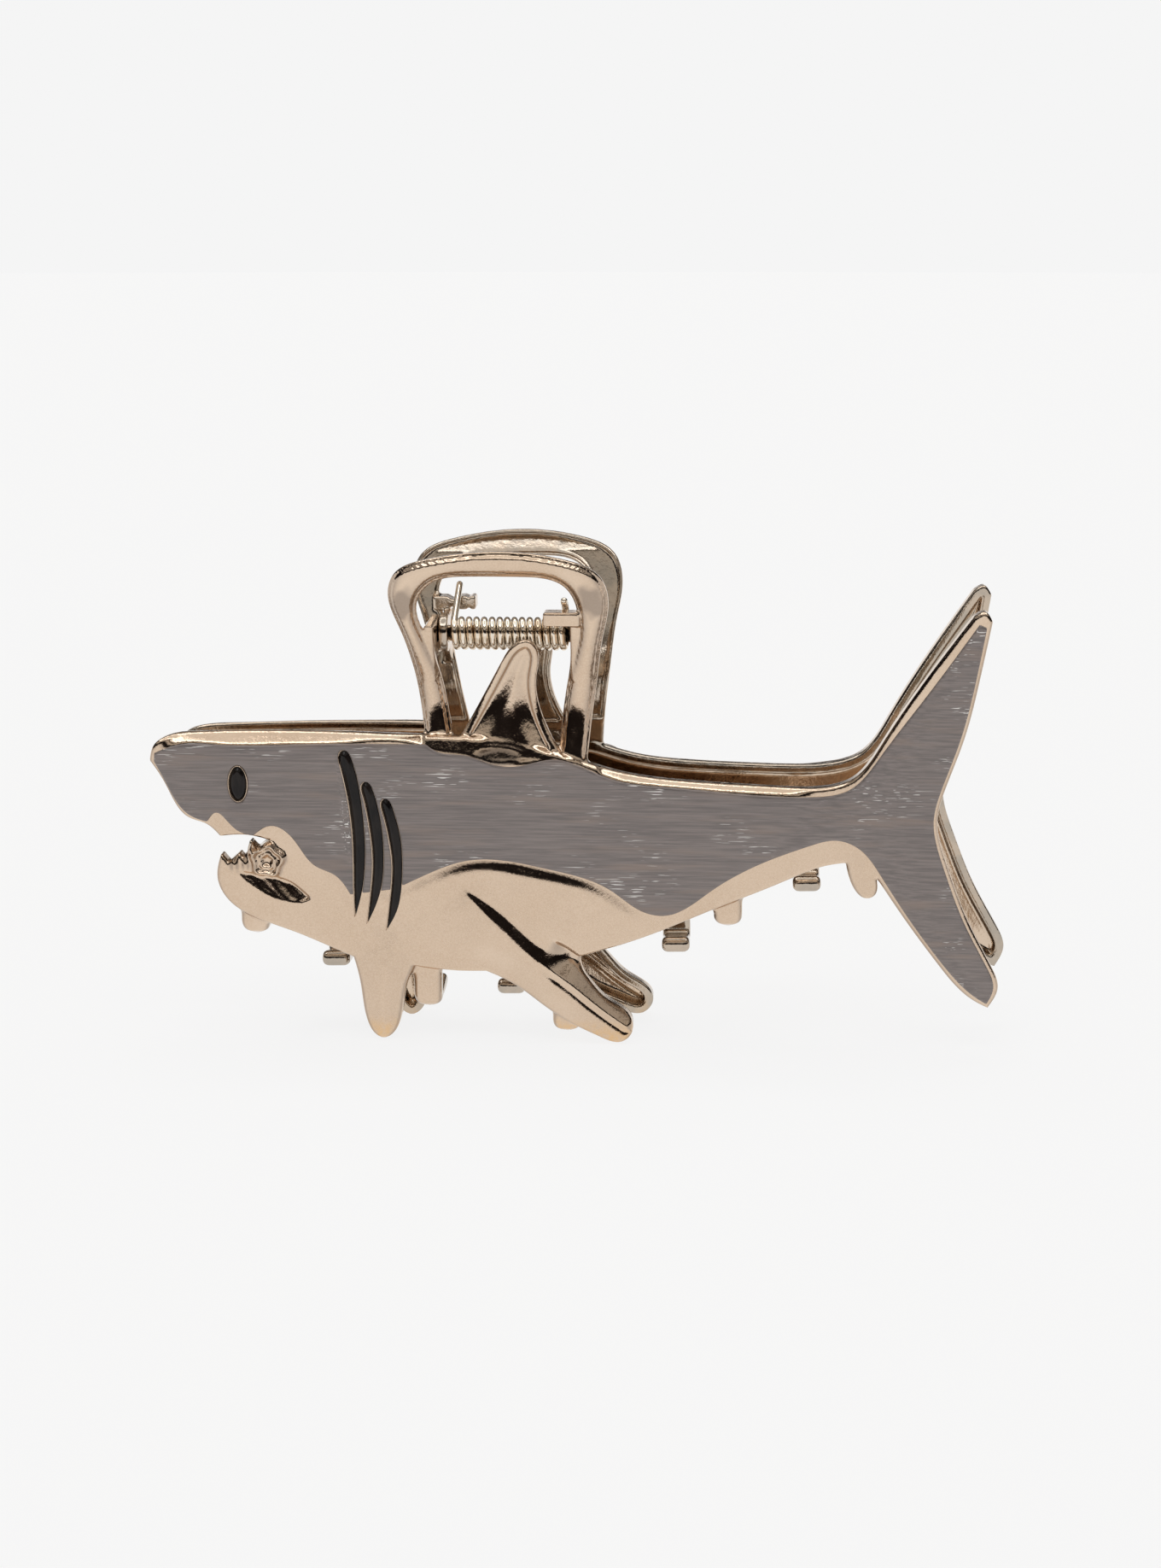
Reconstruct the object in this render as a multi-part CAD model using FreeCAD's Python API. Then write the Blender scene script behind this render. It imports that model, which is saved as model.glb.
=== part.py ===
"""Shark-shaped metal claw hair clip: two mirrored castings on one sprung pin.

Frame, in mm: +X from the nose to the tail, the front half on the -Y side, +Z up.
The closed clip stands on its fin tips, with the origin under the middle of its box.
"""
import FreeCAD, Part

import math
import os

V = FreeCAD.Vector

# ---------------------------------------------------------------- driving dimensions
RIM_Y = 4.2             # distance from the middle plane to the back rim of a casting
FACE_Y = 6.6            # ... and to its flat front face
WALL = 1.0              # thickness of the cast wall
ENAMEL_T = 0.3          # enamel standing on the face
GLOSS_T = 0.45          # the thicker black enamel of the gills and the eye
ENAMEL_GAP = 0.15       # gap round each black piece

FLARE_X = 24.0          # the tail bends outwards from here
FLARE_DEG = 4.0
FLARE_STEP = 0.15       # the bent tail is this much slimmer all round than the body

HANDLE_T = 2.1          # thickness along Y
HANDLE_WALL = 1.2       # what is left of it over the hollow in its inner side
DORSAL_T = 1.7

BAND_X = (-30.0, 10.0)  # the sheets that they are cut from reach this far
HANDLE_REACH = 20.0     # ... and their outlines this far out

HINGE_Z = 50.2
PIN_R = 1.0
PIN_HEAD_R = 1.5
PIN_HEAD_T = 0.6
PIN_HEAD_BEVEL = 0.25
BORE_CLEAR = 0.06
EAR_T = 1.1
EAR_GAP = 0.1           # play between two neighbouring ears
EAR_R = 2.3
EAR_LEFT_X = -18.6      # outer side of the front casting's left ear
EAR_RIGHT_X = -0.9      # inner side of its right ear

REAR_SHIFT = EAR_T + EAR_GAP   # the rear casting's ears stand beside the front's
REAR_ROLL = 1.2         # degrees; the rear casting hangs slightly nose down

WIRE_R = 0.44
COIL_R = 1.65           # to the middle of the wire
COIL_TURNS = 15
COIL_PITCH = 0.94
LEG_TIP_Y = 7.4
LEG_TIP_Z = 55.5

LUG_LOW_Z = 52.4
LUG_TOP_Z = 54.1
LUG_IN_Y = 5.6
LUG_OUT_Y = 9.0

FRONT_LUG = (-4.1, 0.4)         # its two ends along X
REAR_LUG = (-20.0, -14.6)

TOOTH_W = 3.5
TOOTH_T = 2.0
TOOTH_REACH = 2.6       # how far a tooth crosses the middle plane

# ---------------------------------------------------------------- outlines, (x, z) runs
# Each run is one smooth curve. It starts where the last one ended, with a corner there.
BODY = [
    # forehead and top of the head, up to the handle
    [(-52.9, 35.0), (-52.3, 37.0), (-50.4, 38.1), (-47.0, 38.5), (-34.0, 38.7), (-18.4, 38.4)],
    # under the handle
    [(-9.0, 37.8), (0.6, 35.4)],
    # back, up to the bend
    [(4.4, 34.2), (12.9, 33.0), (24.0, 32.5)],
    [(24.0, 19.9)],
    # hind belly
    [(16.9, 17.0), (7.7, 13.1), (-1.0, 10.4)],
    # long fin
    [(0.6, 8.7), (3.9, 5.1), (6.7, 2.9), (6.9, 1.6), (5.4, 0.0), (2.7, 0.6), (-0.2, 1.9),
     (-3.8, 4.1), (-8.1, 7.2), (-11.4, 8.7)],
    # belly between the fins
    [(-15.4, 8.7), (-20.4, 9.3)],
    # short fin
    [(-21.4, 6.8), (-22.3, 2.0), (-23.2, 0.5), (-24.3, 0.0), (-25.4, 0.5), (-26.3, 2.0),
     (-27.2, 7.1), (-28.0, 10.3)],
    # throat and lower jaw
    [(-31.1, 11.6), (-34.9, 13.2), (-40.1, 15.1), (-43.3, 17.4), (-44.6, 20.3), (-43.9, 23.3)],
    # lower teeth
    [(-43.0, 22.4)],
    [(-42.0, 23.3)],
    [(-41.3, 23.6), (-39.6, 25.1)],
    # upper lip and underside of the snout
    [(-41.5, 25.6), (-44.5, 25.4)],
    [(-46.2, 27.1), (-48.0, 27.7), (-51.2, 32.3), (-52.9, 35.0)],
]

# the tail starts inside the body and is a little slimmer where it comes out
TAIL = [
    [(22.4, 32.2), (26.0, 32.2), (29.8, 32.4), (33.4, 33.6), (36.9, 38.0), (42.6, 46.9),
     (47.6, 53.9)],
    # upper tail tip
    [(48.9, 54.5), (49.8, 53.3)],
    # hind edge, round the notch
    [(48.6, 46.8), (46.8, 38.8), (44.7, 32.6), (43.9, 29.0), (45.2, 23.3), (47.8, 16.6),
     (50.9, 10.7), (51.8, 8.0), (50.6, 5.4)],
    # front edge of the lower tail
    [(48.8, 6.3), (44.5, 10.6), (40.2, 16.3), (36.7, 21.4)],
    # small hind fin
    [(36.4, 19.1), (35.4, 18.8), (34.0, 19.9), (32.9, 23.2)],
    [(30.3, 22.7), (26.6, 21.2), (22.4, 19.6)],
    [(22.4, 32.2)],
]

BODY_HOLLOW = [
    [(-51.4, 35.0), (-50.0, 36.7), (-46.5, 37.3), (-34.0, 37.5), (-18.4, 37.2)],
    [(-9.0, 36.5), (0.4, 34.3)],
    [(4.4, 33.0), (12.9, 31.8), (21.6, 31.3)],
    [(21.6, 20.2)],
    [(16.5, 18.1), (7.3, 14.2), (-1.4, 11.6), (-9.0, 10.0), (-15.4, 9.9), (-22.0, 10.4),
     (-28.4, 11.7), (-34.5, 14.2), (-40.0, 16.4), (-42.8, 18.8), (-43.3, 21.0)],
    [(-38.2, 23.4)],
    [(-38.2, 26.6)],
    [(-45.5, 28.2), (-48.0, 29.0), (-50.2, 32.4), (-51.4, 35.0)],
]
TAIL_HOLLOW = [
    [(25.2, 31.1), (29.4, 31.3), (32.8, 32.5), (37.5, 38.9), (43.4, 47.8), (47.2, 52.4)],
    [(48.4, 51.8)],
    [(47.4, 46.9), (45.6, 39.0), (43.4, 32.6), (42.6, 29.0), (43.9, 22.9), (46.5, 16.2),
     (49.3, 10.4), (50.2, 7.6)],
    [(49.1, 7.7), (45.2, 11.9), (41.2, 17.2), (37.4, 23.0)],
    [(33.4, 24.5), (30.0, 23.8), (25.2, 22.0)],
    [(25.2, 31.1)],
]

GREY_BODY = [
    [(-52.2, 36.0), (-49.6, 37.1), (-44.0, 37.2), (-36.0, 37.2), (-29.0, 37.5), (-18.6, 37.5)],
    [(-17.4, 36.6), (-13.8, 36.1), (-10.8, 35.1), (-7.6, 34.8), (-2.8, 35.7), (1.0, 34.6)],
    [(4.5, 33.2), (10.5, 32.4), (18.1, 31.8), (24.4, 31.6)],
    [(24.4, 23.5)],
    [(16.3, 19.3), (10.8, 16.2), (8.2, 16.6), (4.1, 19.3), (-4.0, 22.0), (-13.6, 22.9),
     (-19.7, 20.6), (-22.6, 19.2)],
    [(-28.2, 18.4)],
    [(-30.2, 20.9), (-32.4, 21.9), (-35.5, 25.7), (-37.9, 27.0), (-40.2, 25.7)],
    [(-42.5, 26.6), (-44.8, 28.6), (-45.9, 27.4)],
    [(-48.0, 28.2), (-51.0, 32.5), (-52.3, 35.0)],
    [(-52.2, 36.0)],
]
# the tail's enamel runs a little way under the end of the body's
GREY_TAIL = [
    [(22.4, 31.3), (28.4, 31.4), (33.1, 32.4), (36.7, 36.5), (42.3, 44.4), (48.2, 53.0)],
    [(49.1, 52.6)],
    [(48.1, 46.8), (46.3, 38.8), (44.2, 32.6), (43.4, 29.0), (44.7, 23.1), (47.3, 16.4),
     (50.4, 10.5), (51.2, 8.1), (50.4, 6.0)],
    [(48.9, 6.9), (44.9, 10.9), (40.6, 16.6), (36.9, 22.2)],
    [(34.6, 25.0), (31.6, 26.1), (28.6, 25.4), (22.4, 23.2)],
    [(22.4, 31.3)],
]

# each gill: its top, right side, bottom and left side
GILLS = [
    [(-28.8, 36.3), [(-26.9, 31.0), (-26.4, 24.0), (-26.6, 19.4)],
     (-27.6, 16.1), [(-27.7, 19.2), (-27.8, 24.5), (-28.2, 30.5)]],
    [(-26.2, 32.5), [(-24.7, 29.4), (-24.1, 24.0), (-24.5, 19.0)],
     (-26.1, 15.2), [(-25.6, 19.2), (-25.4, 24.0), (-25.8, 29.0)]],
    [(-23.8, 30.5), [(-22.5, 28.0), (-21.8, 23.5), (-22.1, 18.6)],
     (-23.7, 14.4), [(-23.1, 19.0), (-23.0, 23.5), (-23.4, 27.8)]],
]

EYE_X = -41.9
EYE_Z = 32.3
EYE_RX = 1.1
EYE_RZ = 2.2

LONG_FIN_PAD = [
    [(-14.2, 18.2), (-9.8, 14.6), (-5.4, 10.6)],
    [(-1.0, 5.8), (5.6, 1.4)],
    [(5.0, 0.6), (0.2, 2.4), (-3.8, 4.7), (-8.1, 7.8), (-12.0, 10.0)],
    [(-15.0, 13.6), (-14.2, 18.2)],
]
SHORT_FIN_PAD = [
    [(-22.0, 11.0), (-21.9, 7.0), (-22.8, 2.3), (-24.3, 0.6), (-25.8, 2.3), (-26.6, 7.1),
     (-26.8, 11.0)],
    [(-22.0, 11.0)],
]
LONG_FIN_Y = 8.2
SHORT_FIN_Y = 7.6

HANDLE_OUTER = [
    [(1.0, 33.5), (1.5, 39.5), (2.3, 45.6), (3.1, 51.1), (3.8, 55.6), (2.9, 58.6), (-1.3, 60.8),
     (-9.4, 61.8), (-17.7, 60.8), (-21.9, 58.8), (-22.7, 56.6), (-21.5, 51.6), (-19.9, 44.6),
     (-18.3, 33.5)],
    [(1.0, 33.5)],
]
HANDLE_WINDOW = [
    [(-2.4, 36.1), (-2.0, 40.7), (-0.8, 47.7), (0.0, 54.4), (-1.4, 57.3), (-7.0, 58.6),
     (-13.0, 58.6), (-17.4, 57.7), (-19.3, 55.2), (-18.2, 50.0), (-16.3, 42.6), (-15.1, 36.1)],
    [(-2.4, 36.1)],
]
HANDLE_GROOVE = [
    [(0.5, 39.5), (1.5, 45.6), (2.3, 51.1), (2.9, 55.4), (2.0, 58.0), (-1.7, 60.0), (-9.4, 61.0),
     (-17.4, 60.0), (-21.1, 58.2), (-21.8, 56.4), (-20.7, 51.6), (-19.1, 44.6), (-18.3, 39.5)],
    [(-16.7, 39.5)],
    [(-17.2, 43.0), (-19.0, 50.2), (-20.1, 55.4), (-17.9, 58.5), (-13.2, 59.4), (-6.8, 59.4),
     (-0.9, 58.0), (0.8, 54.6), (0.0, 47.6), (-1.1, 39.5)],
    [(0.5, 39.5)],
]
DORSAL = [
    [(-15.6, 36.2), (-12.9, 41.0), (-9.4, 47.5), (-7.9, 49.5), (-6.0, 50.0), (-5.0, 48.6),
     (-5.2, 45.6), (-4.6, 41.2), (-2.2, 36.4)],
    [(-2.1, 34.7)],
    [(-15.5, 34.7)],
    [(-15.6, 36.2)],
]
# outer faces of the handle and the dorsal fin, (distance from the middle plane, z):
# both run in from the body's face, and the handle then leans out
HANDLE_FACE = [(6.4, 35.2), (5.4, 38.0), (4.5, 40.2), (4.3, 42.2), (4.9, 44.4), (6.2, 47.2),
               (8.4, 52.0), (13.2, 62.4)]
DORSAL_FACE = [(6.4, 34.4), (5.6, 37.6), (4.8, 40.4), (4.4, 43.6), (4.7, 50.6)]

# teeth: left side, lowest point, top of the root
FRONT_TEETH = [(-42.2, 12.4, 18.5), (-20.6, 3.2, 12.5), (-3.2, 0.2, 13.5), (16.8, 14.1, 20.5)]
REAR_TEETH = [(-34.6, 7.4, 15.0), (-12.5, 3.6, 12.0), (8.3, 8.9, 18.0), (24.7, 16.6, 24.5)]


# ---------------------------------------------------------------- helpers
def outline(runs, place):
    """A closed wire through the runs; place turns each pair into a point."""
    edges = []
    last = place(*runs[-1][-1])
    for run in runs:
        points = [place(a, b) for a, b in run]
        if last.distanceToPoint(points[0]) > 1e-6:
            points.insert(0, last)
        if len(points) == 2:
            edges.append(Part.makeLine(points[0], points[1]))
        elif len(points) > 2:
            curve = Part.BSplineCurve()
            curve.interpolate(points)
            edges.append(curve.toShape())
        last = points[-1]
    return Part.Wire(edges)


def flat_face(runs, distance):
    """The outline filled in, at a distance from the middle plane on the front side."""
    return Part.Face(outline(runs, lambda x, z: V(x, -distance, z)))


def slab(runs, y_from, y_to):
    """The outline as a plate between two distances."""
    return flat_face(runs, y_from).extrude(V(0, y_from - y_to, 0))


def band(profile, near, far):
    """A wide sheet between two depths behind the curved profile of an outer face."""
    front = [V(BAND_X[0], near - h, z) for h, z in profile]
    back = [V(BAND_X[0], far - h, z) for h, z in reversed(profile)]
    edges = []
    for points, end in ((front, back[0]), (back, front[0])):
        curve = Part.BSplineCurve()
        curve.interpolate(points)
        edges.append(curve.toShape())
        edges.append(Part.makeLine(points[-1], end))
    return Part.Face(Part.Wire(edges)).extrude(V(BAND_X[1] - BAND_X[0], 0, 0))


def box(x0, x1, y0, y1, z0, z1):
    return Part.makeBox(x1 - x0, y1 - y0, z1 - z0, V(x0, y0, z0))


def bend_tail(shape):
    """Turn a piece of the tail outwards about the bend."""
    turned = shape.copy()
    turned.rotate(V(FLARE_X, -RIM_Y, 0), V(0, 0, 1), -FLARE_DEG)
    return turned


def solid_of(shape):
    """The one solid in a boolean's result."""
    if len(shape.Solids) != 1:
        raise RuntimeError("expected one solid, found %d" % len(shape.Solids))
    return shape.Solids[0]


# ---------------------------------------------------------------- castings
def hollow_plate(runs, hollow_runs, step):
    """A plate with a rim round its hollow back, thinned by step on both faces."""
    plate = slab(runs, RIM_Y + step, FACE_Y - step)
    return plate.cut(slab(hollow_runs, RIM_Y - 0.2, FACE_Y - WALL))


def shell():
    """The hollow body and tail, with the raised pads of the two fins."""
    body = hollow_plate(BODY, BODY_HOLLOW, 0.0)
    body = body.fuse(slab(LONG_FIN_PAD, FACE_Y - 0.5, LONG_FIN_Y))
    body = body.fuse(slab(SHORT_FIN_PAD, FACE_Y - 0.5, SHORT_FIN_Y))
    return body.fuse(bend_tail(hollow_plate(TAIL, TAIL_HOLLOW, FLARE_STEP)))


def handle():
    """The finger loop with its hollow inner side."""
    loop = slab(HANDLE_OUTER, 0, HANDLE_REACH).cut(slab(HANDLE_WINDOW, -1, HANDLE_REACH + 1))
    loop = loop.common(band(HANDLE_FACE, 0, HANDLE_T))
    groove = slab(HANDLE_GROOVE, 0, HANDLE_REACH)
    return loop.cut(groove.common(band(HANDLE_FACE, HANDLE_WALL, 2 * HANDLE_T)))


def dorsal():
    return slab(DORSAL, 0, HANDLE_REACH).common(band(DORSAL_FACE, 0, DORSAL_T))


def ear(x_low):
    """One hinge ear, from round the pin out to a post of the handle."""
    corners = [
        (0.4, EAR_R - 0.05),
        (-7.8, 2.0),
        (-4.4, -5.0),
        (-1.0, 0.25 - EAR_R),
    ]
    corners.append(corners[0])
    profile = Part.makePolygon([V(x_low, y, HINGE_Z + z) for y, z in corners])
    arm = Part.Face(profile).extrude(V(EAR_T, 0, 0))
    hub = Part.makeCylinder(EAR_R, EAR_T, V(x_low, 0, HINGE_Z), V(1, 0, 0))
    hole = Part.makeCylinder(PIN_R + BORE_CLEAR, 3 * EAR_T, V(x_low - EAR_T, 0, HINGE_Z), V(1, 0, 0))
    return hub.fuse(arm).cut(hole)


def lug(x_low, x_high):
    """The bar that a leg of the spring rests on."""
    return box(x_low, x_high, -LUG_OUT_Y, -LUG_IN_Y, LUG_LOW_Z, LUG_TOP_Z)


def tooth(x_low, low_z, root_z):
    """A prong that runs down behind the rim and hooks across the middle plane."""
    out_y = -RIM_Y - 1.2
    in_y = out_y + TOOTH_T
    bend = 2.0
    rise = 1.0
    tip_r = 0.5 * TOOTH_T - 0.2

    def at(y, z):
        return V(x_low, y, low_z + z)

    edges = [
        Part.makeLine(at(out_y, root_z - low_z), at(out_y, bend)),
        Part.Arc(at(out_y, bend), at(out_y + 0.3 * bend, 0.3 * bend), at(out_y + bend, 0)).toShape(),
        Part.makeLine(at(out_y + bend, 0), at(TOOTH_REACH - tip_r, rise)),
        Part.Arc(at(TOOTH_REACH - tip_r, rise), at(TOOTH_REACH, rise + tip_r),
                 at(TOOTH_REACH - tip_r, rise + 2 * tip_r)).toShape(),
        Part.makeLine(at(TOOTH_REACH - tip_r, rise + 2 * tip_r), at(in_y + 1.2, TOOTH_T + 0.2)),
        Part.makeLine(at(in_y + 1.2, TOOTH_T + 0.2), at(in_y, TOOTH_T + 1.4)),
        Part.makeLine(at(in_y, TOOTH_T + 1.4), at(in_y, root_z - low_z)),
        Part.makeLine(at(in_y, root_z - low_z), at(out_y, root_z - low_z)),
    ]
    return Part.Face(Part.Wire(edges)).extrude(V(TOOTH_W, 0, 0))


def casting(teeth, lug_ends):
    """One half without its ears, built on the front side."""
    solid = shell()
    for part in [handle(), dorsal(), lug(*lug_ends)]:
        solid = solid.fuse(part)
    for place in teeth:
        solid = solid.fuse(tooth(*place))
    return solid


def with_ears(solid, left_x, right_x, mirrored):
    """The casting joined to its two ears, which stay square to the pin."""
    for x_low in (left_x, right_x):
        part = ear(x_low)
        if mirrored:
            part = part.mirror(V(0, 0, 0), V(0, 1, 0))
        solid = solid.fuse(part)
    return solid_of(solid)


def to_rear(shape):
    """Carry a piece built on the front side over to the rear half."""
    moved = shape.mirror(V(0, 0, 0), V(0, 1, 0))
    moved.translate(V(REAR_SHIFT, 0, 0))
    moved.rotate(V(0.5 * (EAR_LEFT_X + EAR_RIGHT_X), 0, HINGE_Z), V(0, 1, 0), -REAR_ROLL)
    return moved


# ---------------------------------------------------------------- pin and spring
def pin():
    """The hinge pin with a flattened head at each end."""
    start = EAR_LEFT_X - EAR_GAP
    end = EAR_RIGHT_X + EAR_T + REAR_SHIFT + EAR_GAP
    axis = V(1, 0, 0)
    solid = Part.makeCylinder(PIN_R, end - start, V(start, 0, HINGE_Z), axis)
    for base, way in ((start, -1), (end, 1)):
        disc = Part.makeCylinder(PIN_HEAD_R, PIN_HEAD_T - PIN_HEAD_BEVEL, V(base, 0, HINGE_Z), axis * way)
        cap = Part.makeCone(PIN_HEAD_R, PIN_HEAD_R - PIN_HEAD_BEVEL, PIN_HEAD_BEVEL,
                            V(base + way * (PIN_HEAD_T - PIN_HEAD_BEVEL), 0, HINGE_Z), axis * way)
        solid = solid.fuse(disc).fuse(cap)
    return solid_of(solid)


def spring():
    """A torsion spring: its left leg rests on the rear lug, its right leg on the front."""
    rise = LEG_TIP_Z - HINGE_Z
    slope = math.atan2(rise, LEG_TIP_Y) - math.asin(COIL_R / math.hypot(rise, LEG_TIP_Y))
    length = (COIL_TURNS - slope / math.pi) * COIL_PITCH
    left_x = 0.5 * (EAR_LEFT_X + EAR_T + REAR_SHIFT + EAR_RIGHT_X - length)
    right_x = left_x + length
    # the helix starts straight down, and each leg leaves it at a tangent
    coil = Part.makeHelix(COIL_PITCH, length, COIL_R)
    coil.rotate(V(0, 0, 0), V(0, 1, 0), 90)
    coil.rotate(V(0, 0, 0), V(1, 0, 0), 180 + math.degrees(slope))
    coil.translate(V(left_x, 0, HINGE_Z))
    leave_y = COIL_R * math.sin(slope)
    leave_z = HINGE_Z + COIL_R * math.cos(slope)
    left_tip = V(left_x, LEG_TIP_Y, LEG_TIP_Z)
    right_tip = V(right_x, -LEG_TIP_Y, LEG_TIP_Z)
    left_leg = Part.makeLine(left_tip, V(left_x, -leave_y, leave_z))
    right_leg = Part.makeLine(V(right_x, leave_y, leave_z), right_tip)
    path = Part.Wire([left_leg] + coil.Edges + [right_leg])
    along = V(0, -math.cos(slope), -math.sin(slope))
    start = Part.Wire(Part.makeCircle(WIRE_R, left_tip, along))
    return solid_of(path.makePipeShell([start], True, True))


# ---------------------------------------------------------------- enamel
def gill_runs(gill, gap):
    """A gill's outline, widened by the gap and drawn out at its two tips."""
    top, right, bottom, left = gill
    tip = 3 * gap
    high = (top[0], top[1] + tip)
    low = (bottom[0], bottom[1] - tip)
    return [
        [high] + [(x + gap, z) for x, z in right] + [low],
        [(x - gap, z) for x, z in left] + [high],
    ]


def eye_tool(grow, y_from, y_to):
    ring = Part.Ellipse(V(0, 0, 0), EYE_RZ + grow, EYE_RX + grow)
    wire = Part.Wire(ring.toShape())
    wire.rotate(V(0, 0, 0), V(0, 0, 1), 90)
    wire.rotate(V(0, 0, 0), V(1, 0, 0), 90)
    wire.translate(V(EYE_X, -y_from, EYE_Z))
    return Part.Face(wire).extrude(V(0, y_from - y_to, 0))


def grey_enamel():
    """The grey back of the shark, with gaps for the gills and the eye."""
    plate = slab(GREY_BODY, FACE_Y, FACE_Y + ENAMEL_T)
    for gill in GILLS:
        plate = plate.cut(slab(gill_runs(gill, ENAMEL_GAP), FACE_Y - 1, FACE_Y + 1))
    plate = plate.cut(eye_tool(ENAMEL_GAP, FACE_Y - 1, FACE_Y + 2))
    tail = bend_tail(slab(GREY_TAIL, FACE_Y - FLARE_STEP, FACE_Y - FLARE_STEP + ENAMEL_T))
    tail = tail.common(box(FLARE_X, 80, -40, 40, -10, 80))
    return solid_of(plate.fuse(tail))


# ---------------------------------------------------------------- the clip
def half_enamel():
    """The coloured pieces of one half, built on the front side."""
    pieces = {"grey_enamel": grey_enamel()}
    pieces["eye_enamel"] = eye_tool(0.0, FACE_Y, FACE_Y + GLOSS_T)
    for number, gill in enumerate(GILLS, 1):
        pieces["gill_%d_enamel" % number] = slab(gill_runs(gill, 0.0), FACE_Y, FACE_Y + GLOSS_T)
    return pieces


def clip():
    """Every piece of the closed clip, by name."""
    shift = REAR_SHIFT
    pieces = {
        "front_casting": with_ears(casting(FRONT_TEETH, FRONT_LUG), EAR_LEFT_X, EAR_RIGHT_X, False),
        "rear_casting": with_ears(to_rear(casting(REAR_TEETH, REAR_LUG)),
                                  EAR_LEFT_X + shift, EAR_RIGHT_X + shift, True),
        "hinge_pin": pin(),
        "torsion_spring": spring(),
    }
    for name, piece in half_enamel().items():
        pieces["front_" + name] = piece
        pieces["rear_" + name] = to_rear(piece)
    return pieces


pieces = clip()
whole = Part.makeCompound(list(pieces.values())).BoundBox
centre = V(-0.5 * (whole.XMin + whole.XMax), 0, -whole.ZMin)
os.makedirs("parts", exist_ok=True)
for name, piece in pieces.items():
    piece.translate(centre)
    piece.exportStep("parts/%s.step" % name)
    print(name, piece.isValid(), len(piece.Solids), "volume %.1f mm3" % piece.Volume)
print("size %.2f x %.2f x %.2f mm" % (whole.XLength, whole.YLength, whole.ZLength))
print("hinge axis at z = %.3f mm, moved by %.3f, %.3f" % (HINGE_Z + centre.z, centre.x, centre.z))
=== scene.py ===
"""Looks for the shark claw clip: two plated castings, their enamel, the pin and the spring.

Lengths are in mm in the design frame (x nose to tail, h out from the middle plane, z up)
until a mesh is made. Each casting is one solid field, negative inside, turned into a mesh.
"""

import math

import bmesh
import bpy
import numpy as np
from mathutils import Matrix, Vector


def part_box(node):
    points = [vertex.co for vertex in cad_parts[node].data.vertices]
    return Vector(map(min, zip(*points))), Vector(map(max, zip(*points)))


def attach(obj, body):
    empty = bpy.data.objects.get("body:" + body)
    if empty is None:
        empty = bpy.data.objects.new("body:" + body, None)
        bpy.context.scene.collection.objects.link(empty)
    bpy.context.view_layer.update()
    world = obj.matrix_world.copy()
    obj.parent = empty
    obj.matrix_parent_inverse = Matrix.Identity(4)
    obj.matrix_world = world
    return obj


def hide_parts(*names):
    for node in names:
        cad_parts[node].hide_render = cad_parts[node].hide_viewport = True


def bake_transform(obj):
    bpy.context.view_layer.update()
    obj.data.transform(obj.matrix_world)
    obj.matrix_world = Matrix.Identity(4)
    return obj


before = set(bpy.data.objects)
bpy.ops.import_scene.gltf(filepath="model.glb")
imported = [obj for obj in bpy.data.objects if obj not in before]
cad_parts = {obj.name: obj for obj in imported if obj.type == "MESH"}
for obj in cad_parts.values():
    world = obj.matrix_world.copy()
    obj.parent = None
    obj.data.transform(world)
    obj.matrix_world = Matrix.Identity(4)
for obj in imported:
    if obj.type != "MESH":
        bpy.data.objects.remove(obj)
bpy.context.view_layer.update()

# ---------------------------------------------------------------- driving dimensions
MM = 0.001
STEP = 0.2      # spacing of the castings' field
FINE = 0.09                             # spacing of the small enamel pieces' fields

RIM_H = 4.2             # back rim of a casting, from the middle plane
FACE_H = 6.6            # front face
WALL = 1.0
RIM_W = 1.15            # rim round a hollow back
EDGE_R = 0.45           # rounding of the front edges
FLARE_X = 24.0          # the tail bends outwards from here
FLARE = math.tan(math.radians(4.0))
HINGE_X = -8.6          # middle of the pin
HINGE_Z = 50.2
PIN_R = 1.0
PIN_ENDS = (-19.3, 2.1)
COIL_R = 1.65           # middle of the wire
COIL_PITCH = 0.94
COIL_TURNS = 15
WIRE_R = 0.44
REAR_SHIFT = 1.2        # the rear half sits this far towards the tail
REAR_ROLL = math.radians(1.2)   # and is turned this far nose down about (ROLL_X, HINGE_Z)
ROLL_X = -9.75
EAR_T = 1.1             # hinge ears: thickness, hub radius, middles
EAR_R = 2.3
EARS = (-18.05, -0.35)
FRONT_LUG = (-4.1, 0.4)     # left and right ends of the bars under the spring's legs
REAR_LUG = (-20.0, -14.6)
LUG_MID = (7.2, 53.25)      # h, z
LUG_HALF = (1.6, 0.85)
ENAMEL_T = 0.3          # the grey coat over the face
GLOSS_T = 0.5           # the black drops over the face
SUNK = 0.2              # how far below the face the drops and their walls start
GREY_SUNK = 0.12        # and how far below the skin the grey coat starts
GILL_GAP = 0.03         # between the grey coat and a gill or an eye
EYE_GAP = 0.12
GREY_LOW_H = 5.5        # the grey coat never reaches further back than this
CHAMFER = 0.95          # slope of the chamfer along the back
FOOT_SLOPE = 0.32       # slope of the face at the foot of the handle
BELLY_RISE = 0.42       # swelling of the belly below the grey
TABLE_Z = 34.6          # the handle and the dorsal fin reach down to here, inside the body

pin_low, pin_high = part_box("hinge_pin")
ORIGIN_X = 0.5 * (pin_low.x + pin_high.x) / MM - HINGE_X
ORIGIN_Z = 0.5 * (pin_low.z + pin_high.z) / MM - HINGE_Z

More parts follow.
